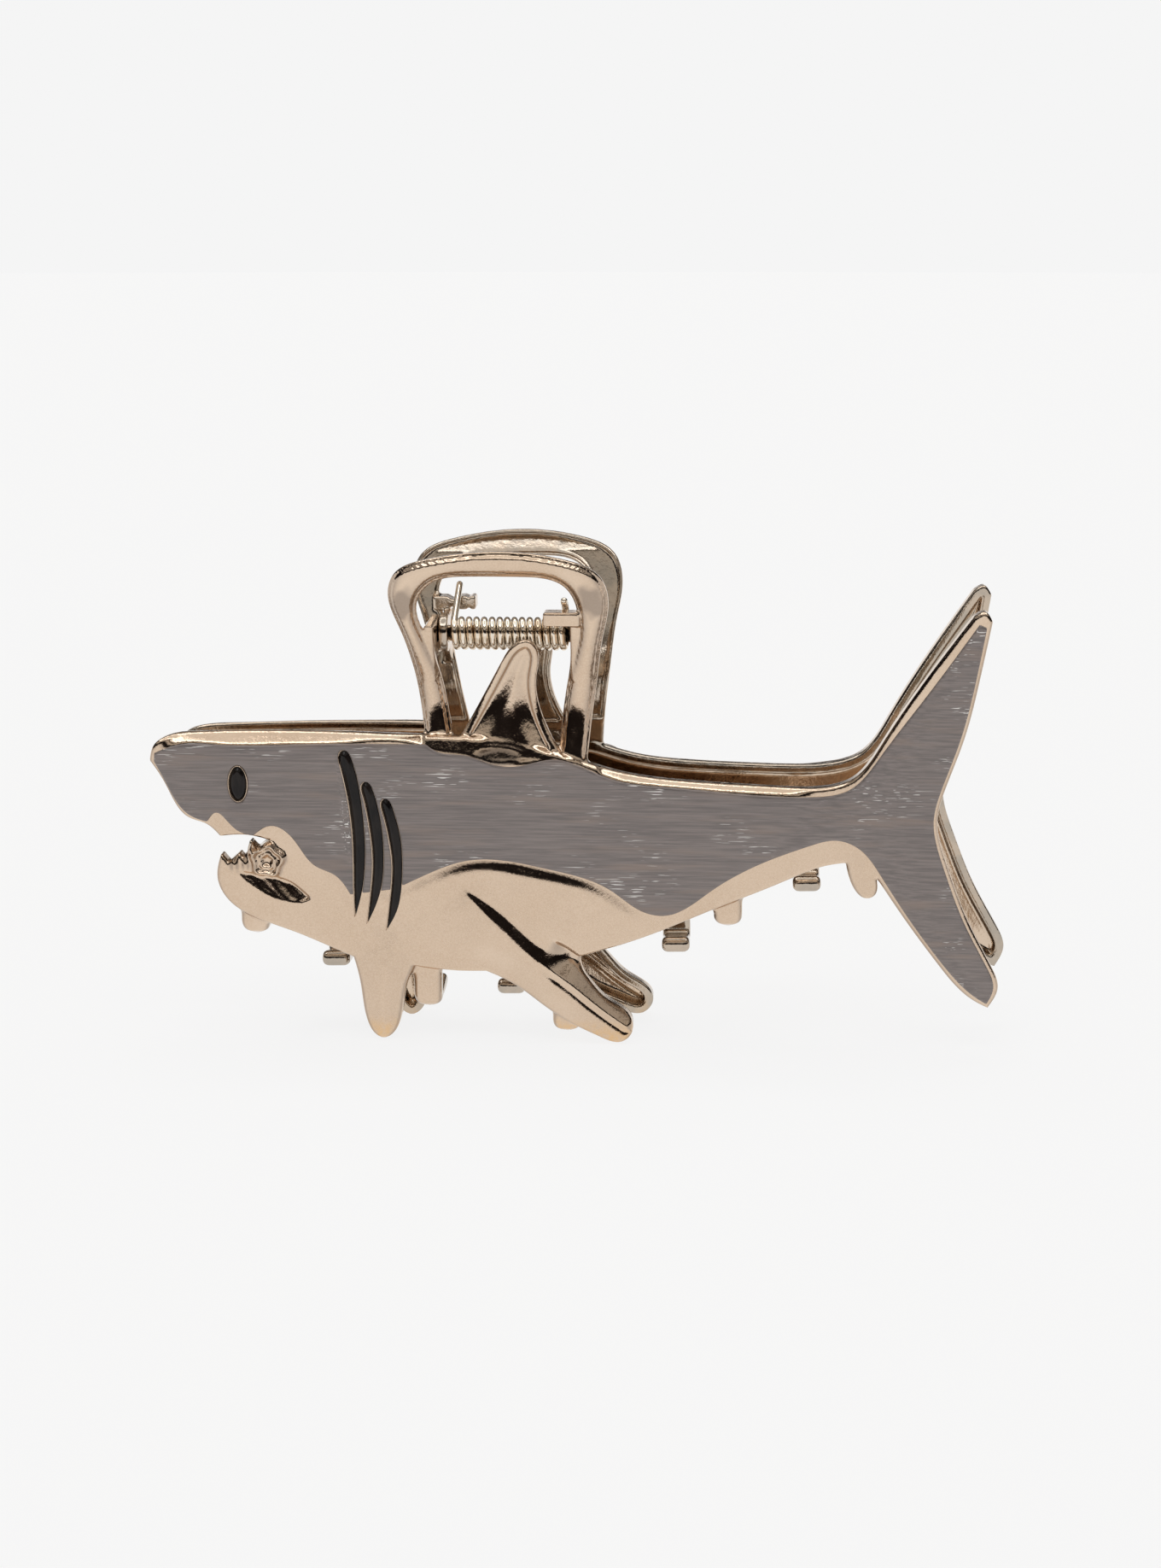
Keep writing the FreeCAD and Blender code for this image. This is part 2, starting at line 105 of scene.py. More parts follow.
# ---------------------------------------------------------------- outlines, (x, z) runs
# Each run is one smooth curve. It starts where the last one ended, with a corner there.
SHARK = [
    [(-52.9, 35.0), (-52.3, 37.0), (-50.4, 38.1), (-47.0, 38.5), (-34.0, 38.7), (-18.4, 38.4)],
    [(-9.0, 37.8), (0.6, 35.4)],
    [(4.4, 34.2), (12.9, 33.0), (24.0, 32.4), (29.8, 32.5), (33.4, 33.6), (36.9, 38.0),
     (42.6, 46.9), (47.6, 53.9)],
    [(48.9, 54.5), (49.8, 53.3)],
    [(48.6, 46.8), (46.8, 38.8), (44.7, 32.6), (43.9, 29.0), (45.2, 23.3), (47.8, 16.6),
     (50.9, 10.7), (51.8, 8.0), (50.6, 5.4)],
    [(48.8, 6.3), (44.5, 10.6), (40.2, 16.3), (36.7, 21.4)],
    [(36.4, 19.1), (35.4, 18.8), (34.0, 19.9), (32.9, 23.2)],
    [(30.3, 22.7), (26.6, 21.2), (24.0, 20.0), (16.9, 17.0), (7.7, 13.1), (-1.0, 10.4)],
    [(0.6, 8.7), (3.9, 5.1), (6.7, 2.9), (6.9, 1.6), (5.4, 0.0), (2.7, 0.6), (-0.2, 1.9),
     (-3.8, 4.1), (-8.1, 7.2), (-11.4, 8.7)],
    [(-15.4, 8.7), (-20.4, 9.3)],
    [(-21.4, 6.8), (-22.3, 2.0), (-23.2, 0.5), (-24.3, 0.0), (-25.4, 0.5), (-26.3, 2.0),
     (-27.2, 7.1), (-28.0, 10.3)],
    [(-31.1, 11.6), (-34.9, 13.2), (-40.1, 15.1), (-43.5, 17.3), (-44.9, 20.3), (-44.3, 23.4)],
    [(-43.4, 22.3)],
    [(-42.0, 23.5)],
    [(-41.5, 22.9)],
    [(-40.4, 24.8)],
    [(-39.7, 24.1)],
    [(-38.8, 24.8)],
    [(-38.0, 25.0)],
    [(-39.4, 25.4), (-41.3, 25.7), (-44.4, 25.5)],
    [(-46.2, 27.1), (-48.0, 27.7), (-51.2, 32.3), (-52.9, 35.0)],
]
GREY = [
    [(-52.2, 36.0), (-49.6, 37.0), (-44.0, 37.1), (-36.0, 37.2), (-29.0, 37.4), (-18.6, 37.4)],
    [(-17.4, 36.6), (-13.8, 36.1), (-10.8, 35.1), (-7.6, 34.8), (-2.8, 35.7), (1.0, 34.6)],
    [(4.5, 33.2), (10.5, 32.4), (18.1, 31.8), (28.4, 31.4), (33.1, 32.4), (36.7, 36.5),
     (42.3, 44.4), (48.2, 53.0)],
    [(49.1, 52.6)],
    [(48.1, 46.8), (46.3, 38.8), (44.2, 32.6), (43.4, 29.0), (44.7, 23.1), (47.3, 16.4),
     (50.4, 10.5), (51.2, 8.1), (50.4, 6.0)],
    [(48.9, 6.9), (44.9, 10.9), (40.6, 16.6), (36.9, 22.2)],
    [(34.6, 25.0), (31.6, 26.1), (28.6, 25.4), (22.4, 22.9), (16.3, 19.3), (10.8, 16.2),
     (8.2, 16.6), (4.1, 19.3), (-4.0, 22.0), (-13.6, 22.9), (-19.7, 20.6), (-22.6, 19.2)],
    [(-28.2, 18.4)],
    [(-30.2, 20.9), (-32.4, 21.9), (-35.5, 25.7), (-37.9, 27.0), (-40.2, 25.7)],
    [(-42.5, 26.6), (-44.8, 28.6), (-45.9, 27.4)],
    [(-48.0, 28.2), (-51.0, 32.5), (-52.3, 35.0)],
    [(-52.2, 36.0)],
]
# each gill is one closed run that starts and ends at its pointed bottom
GILLS = [
    [(-27.6, 15.7), (-26.9, 18.2), (-26.4, 21.5), (-26.3, 25.0), (-26.6, 29.5), (-27.2, 33.4),
     (-27.8, 35.5), (-28.2, 36.3), (-28.7, 36.6), (-29.15, 36.4), (-29.3, 35.8), (-29.1, 34.8),
     (-28.7, 33.1), (-28.15, 30.0), (-27.7, 24.5), (-27.7, 19.0), (-27.6, 15.7)],
    [(-26.1, 14.8), (-25.0, 17.2), (-24.3, 19.6), (-24.0, 23.0), (-24.2, 27.0), (-24.8, 30.2),
     (-25.25, 31.7), (-25.6, 32.4), (-26.05, 32.7), (-26.45, 32.5), (-26.6, 32.0), (-26.4, 31.0),
     (-26.1, 29.7), (-25.6, 26.6), (-25.3, 22.6), (-25.6, 18.8), (-26.1, 14.8)],
    [(-23.7, 14.0), (-22.4, 16.5), (-21.9, 18.8), (-21.7, 22.6), (-21.9, 25.8), (-22.5, 28.4),
     (-22.9, 29.7), (-23.25, 30.35), (-23.65, 30.6), (-24.05, 30.4), (-24.2, 29.9), (-24.05, 29.1),
     (-23.7, 27.8), (-23.2, 25.2), (-22.9, 22.6), (-23.1, 18.8), (-23.7, 14.0)],
]
EYE = (-41.9, 32.3)
EYE_RX = 1.1
EYE_RZ = 2.15
MOUTH = [
    [(-42.9, 21.4), (-40.5, 21.0), (-38.2, 20.6), (-36.3, 20.2), (-34.8, 19.3), (-33.2, 17.9)],
    [(-34.8, 17.2), (-36.7, 17.4), (-38.6, 18.1), (-40.5, 19.3), (-42.9, 21.4)],
]
HANDLE_OUTER = [
    [(1.0, 33.5), (1.5, 39.5), (2.3, 45.6), (3.1, 51.1), (3.8, 55.6), (2.9, 58.6), (-1.3, 60.8),
     (-9.4, 61.8), (-17.7, 60.8), (-21.9, 58.8), (-22.7, 56.6), (-21.5, 51.6), (-19.9, 44.6),
     (-18.3, 33.5)],
    [(1.0, 33.5)],
]
HANDLE_WINDOW = [
    [(-2.4, 36.1), (-2.0, 40.7), (-0.8, 47.7), (0.0, 54.4), (-1.4, 57.3), (-7.0, 58.6),
     (-13.0, 58.6), (-17.4, 57.7), (-19.3, 55.2), (-18.2, 50.0), (-16.3, 42.6), (-15.1, 36.1)],
    [(-2.4, 36.1)],
]
DORSAL = [
    [(-15.6, 36.2), (-12.9, 41.0), (-9.4, 47.5), (-7.9, 49.5), (-6.0, 50.0), (-5.0, 48.6),
     (-5.2, 45.6), (-4.6, 41.2), (-2.2, 36.4)],
    [(-2.1, 34.7)],
    [(-15.5, 34.7)],
    [(-15.6, 36.2)],
]
# where the front face begins to lean back: a chamfer along the back, a gentle slope at the foot
BACK_LINE = [(-51.4, 36.4), (-49.6, 37.1), (-44.0, 37.2), (-36.0, 37.3), (-29.0, 37.5), (-19.6, 37.4),
             (-17.4, 36.7), (-13.8, 36.2), (-10.8, 35.2), (-7.6, 34.9), (-2.8, 35.8), (1.0, 34.7),
             (4.5, 33.3), (10.5, 32.5), (18.1, 31.9), (28.4, 31.5)]
FIN_RIDGE = [(-14.6, 19.6), (-10.6, 15.6), (-5.6, 10.9), (-1.0, 7.5), (2.75, 4.45), (6.1, 2.1)]
GILL_CREASE = [(-29.3, 36.3), (-28.8, 31.0), (-28.0, 21.5)]

SHORT_FIN_X = -24.3
TONGUE = (-38.5, 22.6)
TONGUE_TEETH = [(-42.6, 21.9), (-41.2, 22.0), (-40.1, 23.6), (-38.6, 24.1)]
BULGE = (-9.9, 35.9)                    # the low swelling between the dorsal fin and the grey, with a painted dark reflection over it
CORNERS = [(-21.0, 55.0, -0.25), (1.9, 55.6, 0.25)]     # painted dark reflection patches in the loop's corners: x, z, lean
CORNER_SIZE = (2.2, 2.6)
BULGE_SIZE = (3.2, 1.25)
# how far out the front of the handle and of the dorsal fin stand: h, z
HANDLE_FACE = [(6.35, 35.2), (5.5, 38.0), (4.75, 40.4), (4.35, 42.8), (4.75, 44.9), (6.1, 47.4),
               (8.4, 52.0), (13.2, 62.4)]
DORSAL_FACE = [(6.55, 34.4), (5.7, 37.6), (4.8, 40.6), (4.4, 43.6), (4.7, 50.6)]

# teeth: left side, lowest point, top of the root
FRONT_TEETH = [(-42.2, 12.4, 18.5), (-20.6, 3.2, 12.5), (-3.2, 0.2, 13.5), (16.8, 14.1, 20.5)]
REAR_TEETH = [(-34.6, 7.4, 15.0), (-12.5, 3.6, 12.0), (8.3, 8.9, 18.0), (24.7, 16.6, 24.5)]
TOOTH_W = 3.5
TOOTH_R = 0.97          # half the thickness of a tooth


# ---------------------------------------------------------------- curves and distances
def spline(points, spacing=0.4):
    """Points along the natural cubic curve through the given ones."""
    p = np.array(points, float)
    if len(p) == 2:
        return p
    gaps = np.linalg.norm(np.diff(p, axis=0), axis=1)
    t = np.concatenate([[0.0], np.cumsum(gaps)])
    n = len(p)
    a = np.zeros((n, n))
    b = np.zeros((n, p.shape[1]))
    a[0, 0] = a[-1, -1] = 1.0
    for i in range(1, n - 1):
        a[i, i - 1] = gaps[i - 1]
        a[i, i] = 2.0 * (gaps[i - 1] + gaps[i])
        a[i, i + 1] = gaps[i]
        b[i] = 6.0 * ((p[i + 1] - p[i]) / gaps[i] - (p[i] - p[i - 1]) / gaps[i - 1])
    bend = np.linalg.solve(a, b)
    at = np.linspace(0.0, t[-1], max(2, int(t[-1] / spacing) + 1))
    i = np.clip(np.searchsorted(t, at, side="right") - 1, 0, n - 2)
    g = gaps[i][:, None]
    u = (at - t[i])[:, None]
    v = g - u
    return (bend[i] * v**3 + bend[i + 1] * u**3) / (6.0 * g) + (
        p[i] / g - bend[i] * g / 6.0) * v + (p[i + 1] / g - bend[i + 1] * g / 6.0) * u


def loop_of(runs):
    """The closed polygon of an outline's runs."""
    parts = []
    last = runs[-1][-1]
    for run in runs:
        points = list(run)
        if math.dist(last, points[0]) > 1e-6:
            points.insert(0, last)
        if len(points) > 1:
            parts.append(spline(points)[:-1])
        last = run[-1]
    return np.concatenate(parts)


def distance(x, z, loop, reach=6.0):
    """Signed distance from the grid's points to a polygon, negative inside, exact to reach."""
    near = np.full((len(x), len(z)), reach**2)
    inside = np.zeros((len(x), len(z)), bool)
    for a, b in zip(loop, np.roll(loop, -1, axis=0)):
        i0, i1 = np.searchsorted(x, [min(a[0], b[0]) - reach, max(a[0], b[0]) + reach])
        k0, k1 = np.searchsorted(z, [min(a[1], b[1]) - reach, max(a[1], b[1]) + reach])
        if i0 < i1 and k0 < k1:
            px = x[i0:i1, None] - a[0]
            pz = z[None, k0:k1] - a[1]
            w = b - a
            t = np.clip((px * w[0] + pz * w[1]) / (w @ w + 1e-12), 0.0, 1.0)
            gap = (px - t * w[0])**2 + (pz - t * w[1])**2
            near[i0:i1, k0:k1] = np.minimum(near[i0:i1, k0:k1], gap)
        k0, k1 = np.searchsorted(z, sorted((a[1], b[1])))
        if k0 < k1:
            cross = a[0] + (z[k0:k1] - a[1]) * (b[0] - a[0]) / (b[1] - a[1])
            inside[:, k0:k1] ^= x[:, None] < cross[None, :]
    return np.where(inside, -1.0, 1.0) * np.sqrt(near)


def along(x, z, points):
    """Signed distance to a line, positive to the right of its way, and how far along, 0 to 1."""
    line = spline(points)
    steps = np.linalg.norm(np.diff(line, axis=0), axis=1)
    start = np.concatenate([[0.0], np.cumsum(steps)])
    best = np.full((len(x), len(z)), 1e9)
    side = np.zeros_like(best)
    way = np.zeros_like(best)
    for i, (a, b) in enumerate(zip(line[:-1], line[1:])):
        px = x[:, None] - a[0]
        pz = z[None, :] - a[1]
        w = b - a
        t = np.clip((px * w[0] + pz * w[1]) / (w @ w), 0.0, 1.0)
        gap = np.hypot(px - t * w[0], pz - t * w[1])
        hit = gap < best
        best = np.where(hit, gap, best)
        side = np.where(hit, np.sign(w[1] * px - w[0] * pz), side)
        way = np.where(hit, (start[i] + t * steps[i]) / start[-1], way)
    return best * side, way


def ramp(value, low, high):
    """0 below low, 1 above high, smooth between."""
    t = np.clip((value - low) / (high - low), 0.0, 1.0)
    return t * t * (3.0 - 2.0 * t)


def bell(value, width):
    return np.exp(-(value / width)**2)


def smax(a, b, k):
    """The larger of two, rounded over a band k wide."""
    t = np.maximum(k - np.abs(a - b), 0.0) / k
    return np.maximum(a, b) + t * t * k * 0.25


def smin(a, b, k):
    return -smax(-a, -b, k)


def rmax(a, b, r):
    """The larger of two distances, with the edge between them rounded to radius r."""
    outer = np.hypot(np.maximum(a + r, 0.0), np.maximum(b + r, 0.0)) - r
    return np.minimum(np.maximum(a, b), -r) + np.maximum(outer + r, 0.0)


# ---------------------------------------------------------------- meshing
def sample(field, at):
    """The field between its grid points, at fractional grid places."""
    top = np.array(field.shape) - 2
    base = np.clip(at.astype(int), 0, top)
    f = np.clip(at - base, 0.0, 1.0)
    total = 0.0
    for corner in np.ndindex(2, 2, 2):
        weight = 1.0
        for axis in range(3):
            weight = weight * (f[:, axis] if corner[axis] else 1.0 - f[:, axis])
        i, j, k = (base + corner).T
        total = total + weight * field[i, j, k]
    return total


def gradient(field, at, spacing, reach):
    """The field's slope per mm."""
    out = np.empty_like(at)
    for axis in range(3):
        off = np.zeros(3)
        off[axis] = reach
        out[:, axis] = (sample(field, at + off) - sample(field, at - off)) / (2 * reach * spacing[axis])
    return out


def surface(field, origin, spacing):
    """A surface net on the field's zero: points, quads and unit normals."""
    spacing = np.array(spacing)
    inside = field < 0
    count = np.zeros(tuple(n - 1 for n in field.shape), np.int8)
    for i, j, k in np.ndindex(2, 2, 2):
        count += inside[i:i + count.shape[0], j:j + count.shape[1], k:k + count.shape[2]]
    cells = np.argwhere((count > 0) & (count < 8))
    ids = np.full(count.shape, -1, np.int32)
    ids[tuple(cells.T)] = np.arange(len(cells))
    total = np.zeros((len(cells), 3))
    hits = np.zeros(len(cells))
    for axis in range(3):
        others = [a for a in range(3) if a != axis]
        for p, q in np.ndindex(2, 2):
            low = np.zeros(3, int)
            low[others[0]], low[others[1]] = p, q
            high = low.copy()
            high[axis] = 1
            a = field[tuple((cells + low).T)]
            b = field[tuple((cells + high).T)]
            cut = (a < 0) != (b < 0)
            t = np.where(cut, a / np.where(cut, a - b, 1.0), 0.0)
            spot = np.repeat(low[None].astype(float), len(cells), axis=0)
            spot[:, axis] = t
            total += spot * cut[:, None]
            hits += cut
    at = cells + total / hits[:, None]
    quads = []
    for axis in range(3):
        u, v = (axis + 1) % 3, (axis + 2) % 3
        step = [0, 0, 0]
        step[axis] = 1
        near = inside[:-1 if axis == 0 else None, :-1 if axis == 1 else None, :-1 if axis == 2 else None]
        far = inside[step[0]:, step[1]:, step[2]:]
        edges = np.argwhere(near != far)
        keep = (edges[:, u] > 0) & (edges[:, v] > 0)
        keep &= (edges[:, u] < count.shape[u]) & (edges[:, v] < count.shape[v])
        edges = edges[keep]
        ring = []
        for du, dv in ((-1, -1), (0, -1), (0, 0), (-1, 0)):
            cell = edges.copy()
            cell[:, u] += du
            cell[:, v] += dv
            ring.append(ids[tuple(cell.T)])
        quad = np.stack(ring, axis=1)
        outward = near[tuple(edges.T)]
        quads.append(np.where(outward[:, None], quad, quad[:, ::-1]))
    for _ in range(3):
        slope = gradient(field, at, spacing, 0.5)
        steep = np.maximum((slope**2).sum(1), 0.05)
        move = -sample(field, at)[:, None] * slope / steep[:, None] / spacing
        at = at + np.clip(move, -0.4, 0.4)
    normal = gradient(field, at, spacing, 0.9)
    normal /= np.maximum(np.linalg.norm(normal, axis=1, keepdims=True), 1e-9)
    return np.array(origin) + at * spacing, np.concatenate(quads), normal


def flare(x):
    """How far the tail has bent outwards at x."""
    return FLARE * 0.5 * (np.hypot(x - FLARE_X, 2.0) + x - FLARE_X)


def place(points, rear):
    """Design points (x, h, z) as metres in the part's frame."""
    x, h, z = np.array(points, float).T
    x = x - 0.5 * FLARE**2 * np.maximum(x - FLARE_X, 0.0)
    if rear:
        x = x + REAR_SHIFT - ROLL_X
        z = z - HINGE_Z
        c, s = math.cos(REAR_ROLL), math.sin(REAR_ROLL)
        x, z = x * c - z * s + ROLL_X, x * s + z * c + HINGE_Z
    y = h if rear else -h
    return np.stack([x + ORIGIN_X, y, z + ORIGIN_Z], axis=1) * MM


def turn(normals, rear):
    """Design normals as directions in the part's frame."""
    x, h, z = normals.T
    if rear:
        c, s = math.cos(REAR_ROLL), math.sin(REAR_ROLL)
        x, z = x * c - z * s, x * s + z * c
    return np.stack([x, h if rear else -h, z], axis=1)


def new_object(name, points, faces, material, normals=None, finish_and_painted_light=None):
    """A smooth mesh object; finish_and_painted_light is what plated_material reads at each point: satin,
    painted shade inside, gold and painted dark reflection.
    """
    mesh = bpy.data.meshes.new(name)
    mesh.from_pydata(points.tolist(), [], faces)
    mesh.polygons.foreach_set("use_smooth", np.ones(len(mesh.polygons), bool))
    if finish_and_painted_light is not None:
        layer = mesh.attributes.new("finish_and_painted_light", "FLOAT_COLOR", "POINT")
        layer.data.foreach_set("color", finish_and_painted_light.ravel())
    if normals is not None:
        mesh.normals_split_custom_set_from_vertices(normals.tolist())
    mesh.materials.append(material)
    mesh.update()
    obj = bpy.data.objects.new(name, mesh)
    bpy.context.scene.collection.objects.link(obj)
    return obj


def piece(name, node, net, rear, material, finish_and_painted_light=None):
    """A meshed field as a piece that rides on its half and may stand for a CAD node."""
    points, quads, normals = net
    faces = quads if rear else quads[:, ::-1]
    obj = new_object(name, place(points, rear), faces.tolist(), material, turn(normals, rear), finish_and_painted_light)
    if node:
        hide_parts(node)
    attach(obj, "rear_half" if rear else "front_half")


# ---------------------------------------------------------------- fields of a casting
def belly(wide, tall, grey, inside):
    """The belly's swelling, steepest just below the grey; grey is the distance from its edge."""
    low = ramp(27.0 - tall, 0.0, 2.0)
    crown = 0.3 + 0.7 * ramp(inside, 0.0, 4.5)
    return BELLY_RISE * bell(wide + 6.6, 14.5) * ramp(grey, -0.05, 1.65) * crown * low


def with_long_fin(height, x, z):
    """The height with the long fin's ridge: a low crest on the body, a sharp one on the free end."""
    side, way = along(x, z, FIN_RIDGE)
    free = ramp(way, 0.48, 0.62)
    crest = 0.6 * ramp(way, -0.1, 0.3) + 0.4 * ramp(way, 0.42, 0.66)
    above_body = np.maximum(crest + 0.42 * side, 0.0)
    above_free = crest + 0.86 * side
    groove = 0.27 * free * bell(side - 0.6, 0.44)
    below = crest * (1.0 - ramp(side, 0.4, 6.5)) - groove
    fin = np.where(side > 0, below, above_body * (1.0 - free) + above_free * free)
    held = ramp(way, 0.0, 0.08) * (1.0 - ramp(-side, 3.0, 3.5))
    return height * (1.0 - 0.8 * free * held) + fin * held


def back_fall(wide, tall):
    """How far the face falls away above BACK_LINE."""
    line = spline(BACK_LINE)
    over = tall - np.interp(wide[:, 0], line[:, 0], line[:, 1])[:, None]
    over = 0.5 * (np.hypot(over, 0.12) + over)
    foot = ramp(wide + 19.4, 0.0, 0.8) * ramp(3.0 - wide, 0.0, 0.8)
    ends = ramp(wide + 52.0, 0.0, 3.0) * ramp(29.5 - wide, 0.0, 4.0)
    return (CHAMFER + (FOOT_SLOPE - CHAMFER) * foot) * over * ends


def jaw_rise(x, z, wide, tall):
    """The mouth's sunk and rippled floor, the curled tongue and the small teeth."""
    mouth = distance(x, z, loop_of(MOUTH))
    sill, _ = along(x, z, MOUTH[1][::-1])
    rise = -0.36 * np.clip(-sill, 0.0, 2.3) * ramp(-mouth, -0.05, 0.22)
    rise += 0.06 * np.sin(2.6 * wide + 1.9 * tall) * ramp(-mouth, 0.25, 0.75)
    gap_x, gap_z = wide - TONGUE[0], tall - TONGUE[1]
    reach = np.hypot(gap_x, gap_z)
    folds = 1.75 + 0.2 * np.sin(5.0 * np.arctan2(gap_z, gap_x) + 0.6)
    rise += 0.65 * bell(reach - folds, 0.36) + 0.5 * bell(reach - 0.5 * folds, 0.28)
    for cx, cz in TONGUE_TEETH:
        rise += 0.5 * bell(np.hypot(wide - cx, (tall - cz) * 0.6), 0.45)
    return rise


def relief(x, z, inside):
    """Height of the front face over its flat level; inside is the depth from the outline."""
    wide, tall = x[:, None], z[None, :]
    height = belly(wide, tall, distance(x, z, loop_of(GREY)), inside)
    height -= 0.12 * (1.0 - ramp(inside, 0.5, 4.0))
    height = with_long_fin(height, x, z)
    height += 0.6 * ramp(16.0 - tall, 0.0, 9.0) * bell(wide - SHORT_FIN_X, 3.4)
    side, way = along(x, z, GILL_CREASE)
    height += 0.26 * bell(side, 0.4) * ramp(way, 0.0, 0.1) * ramp(1.0 - way, 0.0, 0.2)
    height -= back_fall(wide, tall)
    spread = ((wide - BULGE[0]) / BULGE_SIZE[0])**2 + ((tall - BULGE[1]) / BULGE_SIZE[1])**2
    height += 0.16 * ramp(1.0 - spread, 0.0, 0.8)
    height += jaw_rise(x, z, wide, tall)
    wave = np.sin(0.83 * wide + 1.3) * np.sin(0.71 * tall + 0.4) + np.sin(0.31 * wide - 0.52 * tall)
    return height + 0.018 * wave


def outer_skin(x, h, z):
    """The outline and the front face together, before the back is cut, in unbent heights."""
    flat = distance(x, z, loop_of(SHARK))
    top = FACE_H + relief(x, z, -flat)
    face = h[None, :, None] - top[:, None, :]
    return flat, top, face, rmax(flat[:, None, :], face, EDGE_R)


def leaf(h, z, profile, edge, crest, thick, wall, rim, recess_from):
    """A strip that follows a profile: edge is the depth from its outline, crest its relief."""
    line = spline(profile)
    face_h = np.interp(z, line[:, 1], line[:, 0])
    lean = 1.0 / np.hypot(1.0, np.gradient(face_h, z))
    q = ((h[:, None] - face_h[None, :]) * lean[None, :])[None]
    edge = edge[:, None, :]
    strip = rmax(rmax(-edge, q - crest[:, None, :], 0.25), -0.9 * thick - q, 0.25)
    recess = rmax(rim - edge, q + wall, 0.4)
    recess = np.maximum(recess, (recess_from - z)[None, None, :])
    return np.maximum(smax(strip, -recess, 0.3), (TABLE_Z - z)[None, None, :])


def handle(x, h, z):
    """The finger loop: a domed band with a step round it, hollow behind."""
    outer = distance(x, z, loop_of(HANDLE_OUTER))
    window = distance(x, z, loop_of(HANDLE_WINDOW))
    edge = np.minimum(-outer, window)
    dome = 1.0 - (1.0 - np.clip((edge - 0.5) / 1.2, 0.0, 1.0))**2
    crest = -0.8 + 0.4 * ramp(edge, 0.38, 0.6) + 0.4 * dome
    wall = 1.35 - 0.28 * np.clip(z - 59.2, 0.0, 1.9)
    return leaf(h, z, HANDLE_FACE, edge, crest, thick=2.1, wall=wall, rim=0.4, recess_from=39.0)


def dorsal(x, h, z):
    """The dorsal fin: a raised rim round a shallow dish, hollow behind."""
    edge = -distance(x, z, loop_of(DORSAL))
    crest = -0.45 * ramp(edge, 0.75, 1.1) + 0.45 * ramp(edge, 1.1, 3.2)
    return leaf(h, z, DORSAL_FACE, edge, crest, thick=1.7, wall=0.95, rim=0.7, recess_from=38.5)


def ear(x, h, z, middle, rear):
    """One hinge ear; on the rear half its bore follows the roll."""
    axis_z = HINGE_Z - (math.tan(REAR_ROLL) * (middle + REAR_SHIFT - ROLL_X) if rear else 0.0)
    corners = [(-0.4, 2.2), (7.6, 2.0), (4.6, -5.0), (1.0, -2.1)]
    arm = distance(h, z - axis_z, np.array(corners))
    hub = np.hypot(h[:, None], z[None, :] - axis_z)
    flat = np.abs(x - middle) - 0.5 * EAR_T
    plate = rmax(np.minimum(arm, hub - EAR_R)[None], flat[:, None, None], 0.22)
    return np.maximum(plate, (PIN_R + 0.06 - hub)[None])


def lug(x, h, z, left, right, rear):
    """The bar under a leg of the spring; the rear one is notched."""
    notch = np.zeros(len(x))
    if rear:
        notch = 0.42 * bell(x - left - 2.5, 0.5) + 0.25 * bell(x - left - 4.5, 0.2)
    across = np.abs(x - 0.5 * (left + right)) - 0.5 * (right - left)
    out = np.abs(h - LUG_MID[0]) - LUG_HALF[0]
    tall = np.abs(z - LUG_MID[1]) - LUG_HALF[1]
    bar = rmax(out[None, :, None], tall[None, None, :] + notch[:, None, None], 0.25)
    return rmax(bar, across[:, None, None], 0.25)


def tooth(x, h, z, left, low, root):
    """A prong with a round end that runs down behind the rim and hooks across the middle plane."""
    path = np.array([(4.4, root), (4.4, low + 2.2), (3.9, low + 1.4), (3.0, low + 1.0), (-1.7, low + 1.9)])
    best = np.full((len(h), len(z)), 1e9)
    for a, b in zip(path[:-1], path[1:]):
        w = b - a
        ph, pz = h[:, None] - a[0], z[None, :] - a[1]
        t = np.clip((ph * w[0] + pz * w[1]) / (w @ w), 0.0, 1.0)
        best = np.minimum(best, np.hypot(ph - t * w[0], pz - t * w[1]))
    half = 0.5 * TOOTH_W
    down = np.clip((low + half - z) / half, 0.0, 0.97)
    across = np.abs(x - left - half)[:, None] - (half * np.sqrt(1.0 - down**2))[None, :]
    return rmax((best - TOOTH_R)[None], across[:, None, :], 0.6)


def add(field, x, h, z, span_x, span_z, shape, blend, *facts):
    """Join a shape to the field where it can reach."""
    i = slice(*np.searchsorted(x, span_x))
    k = slice(*np.searchsorted(z, span_z))
    part = shape(x[i], h, z[k], *facts).astype(np.float32)
    field[i, :, k] = smin(field[i, :, k], part, blend)


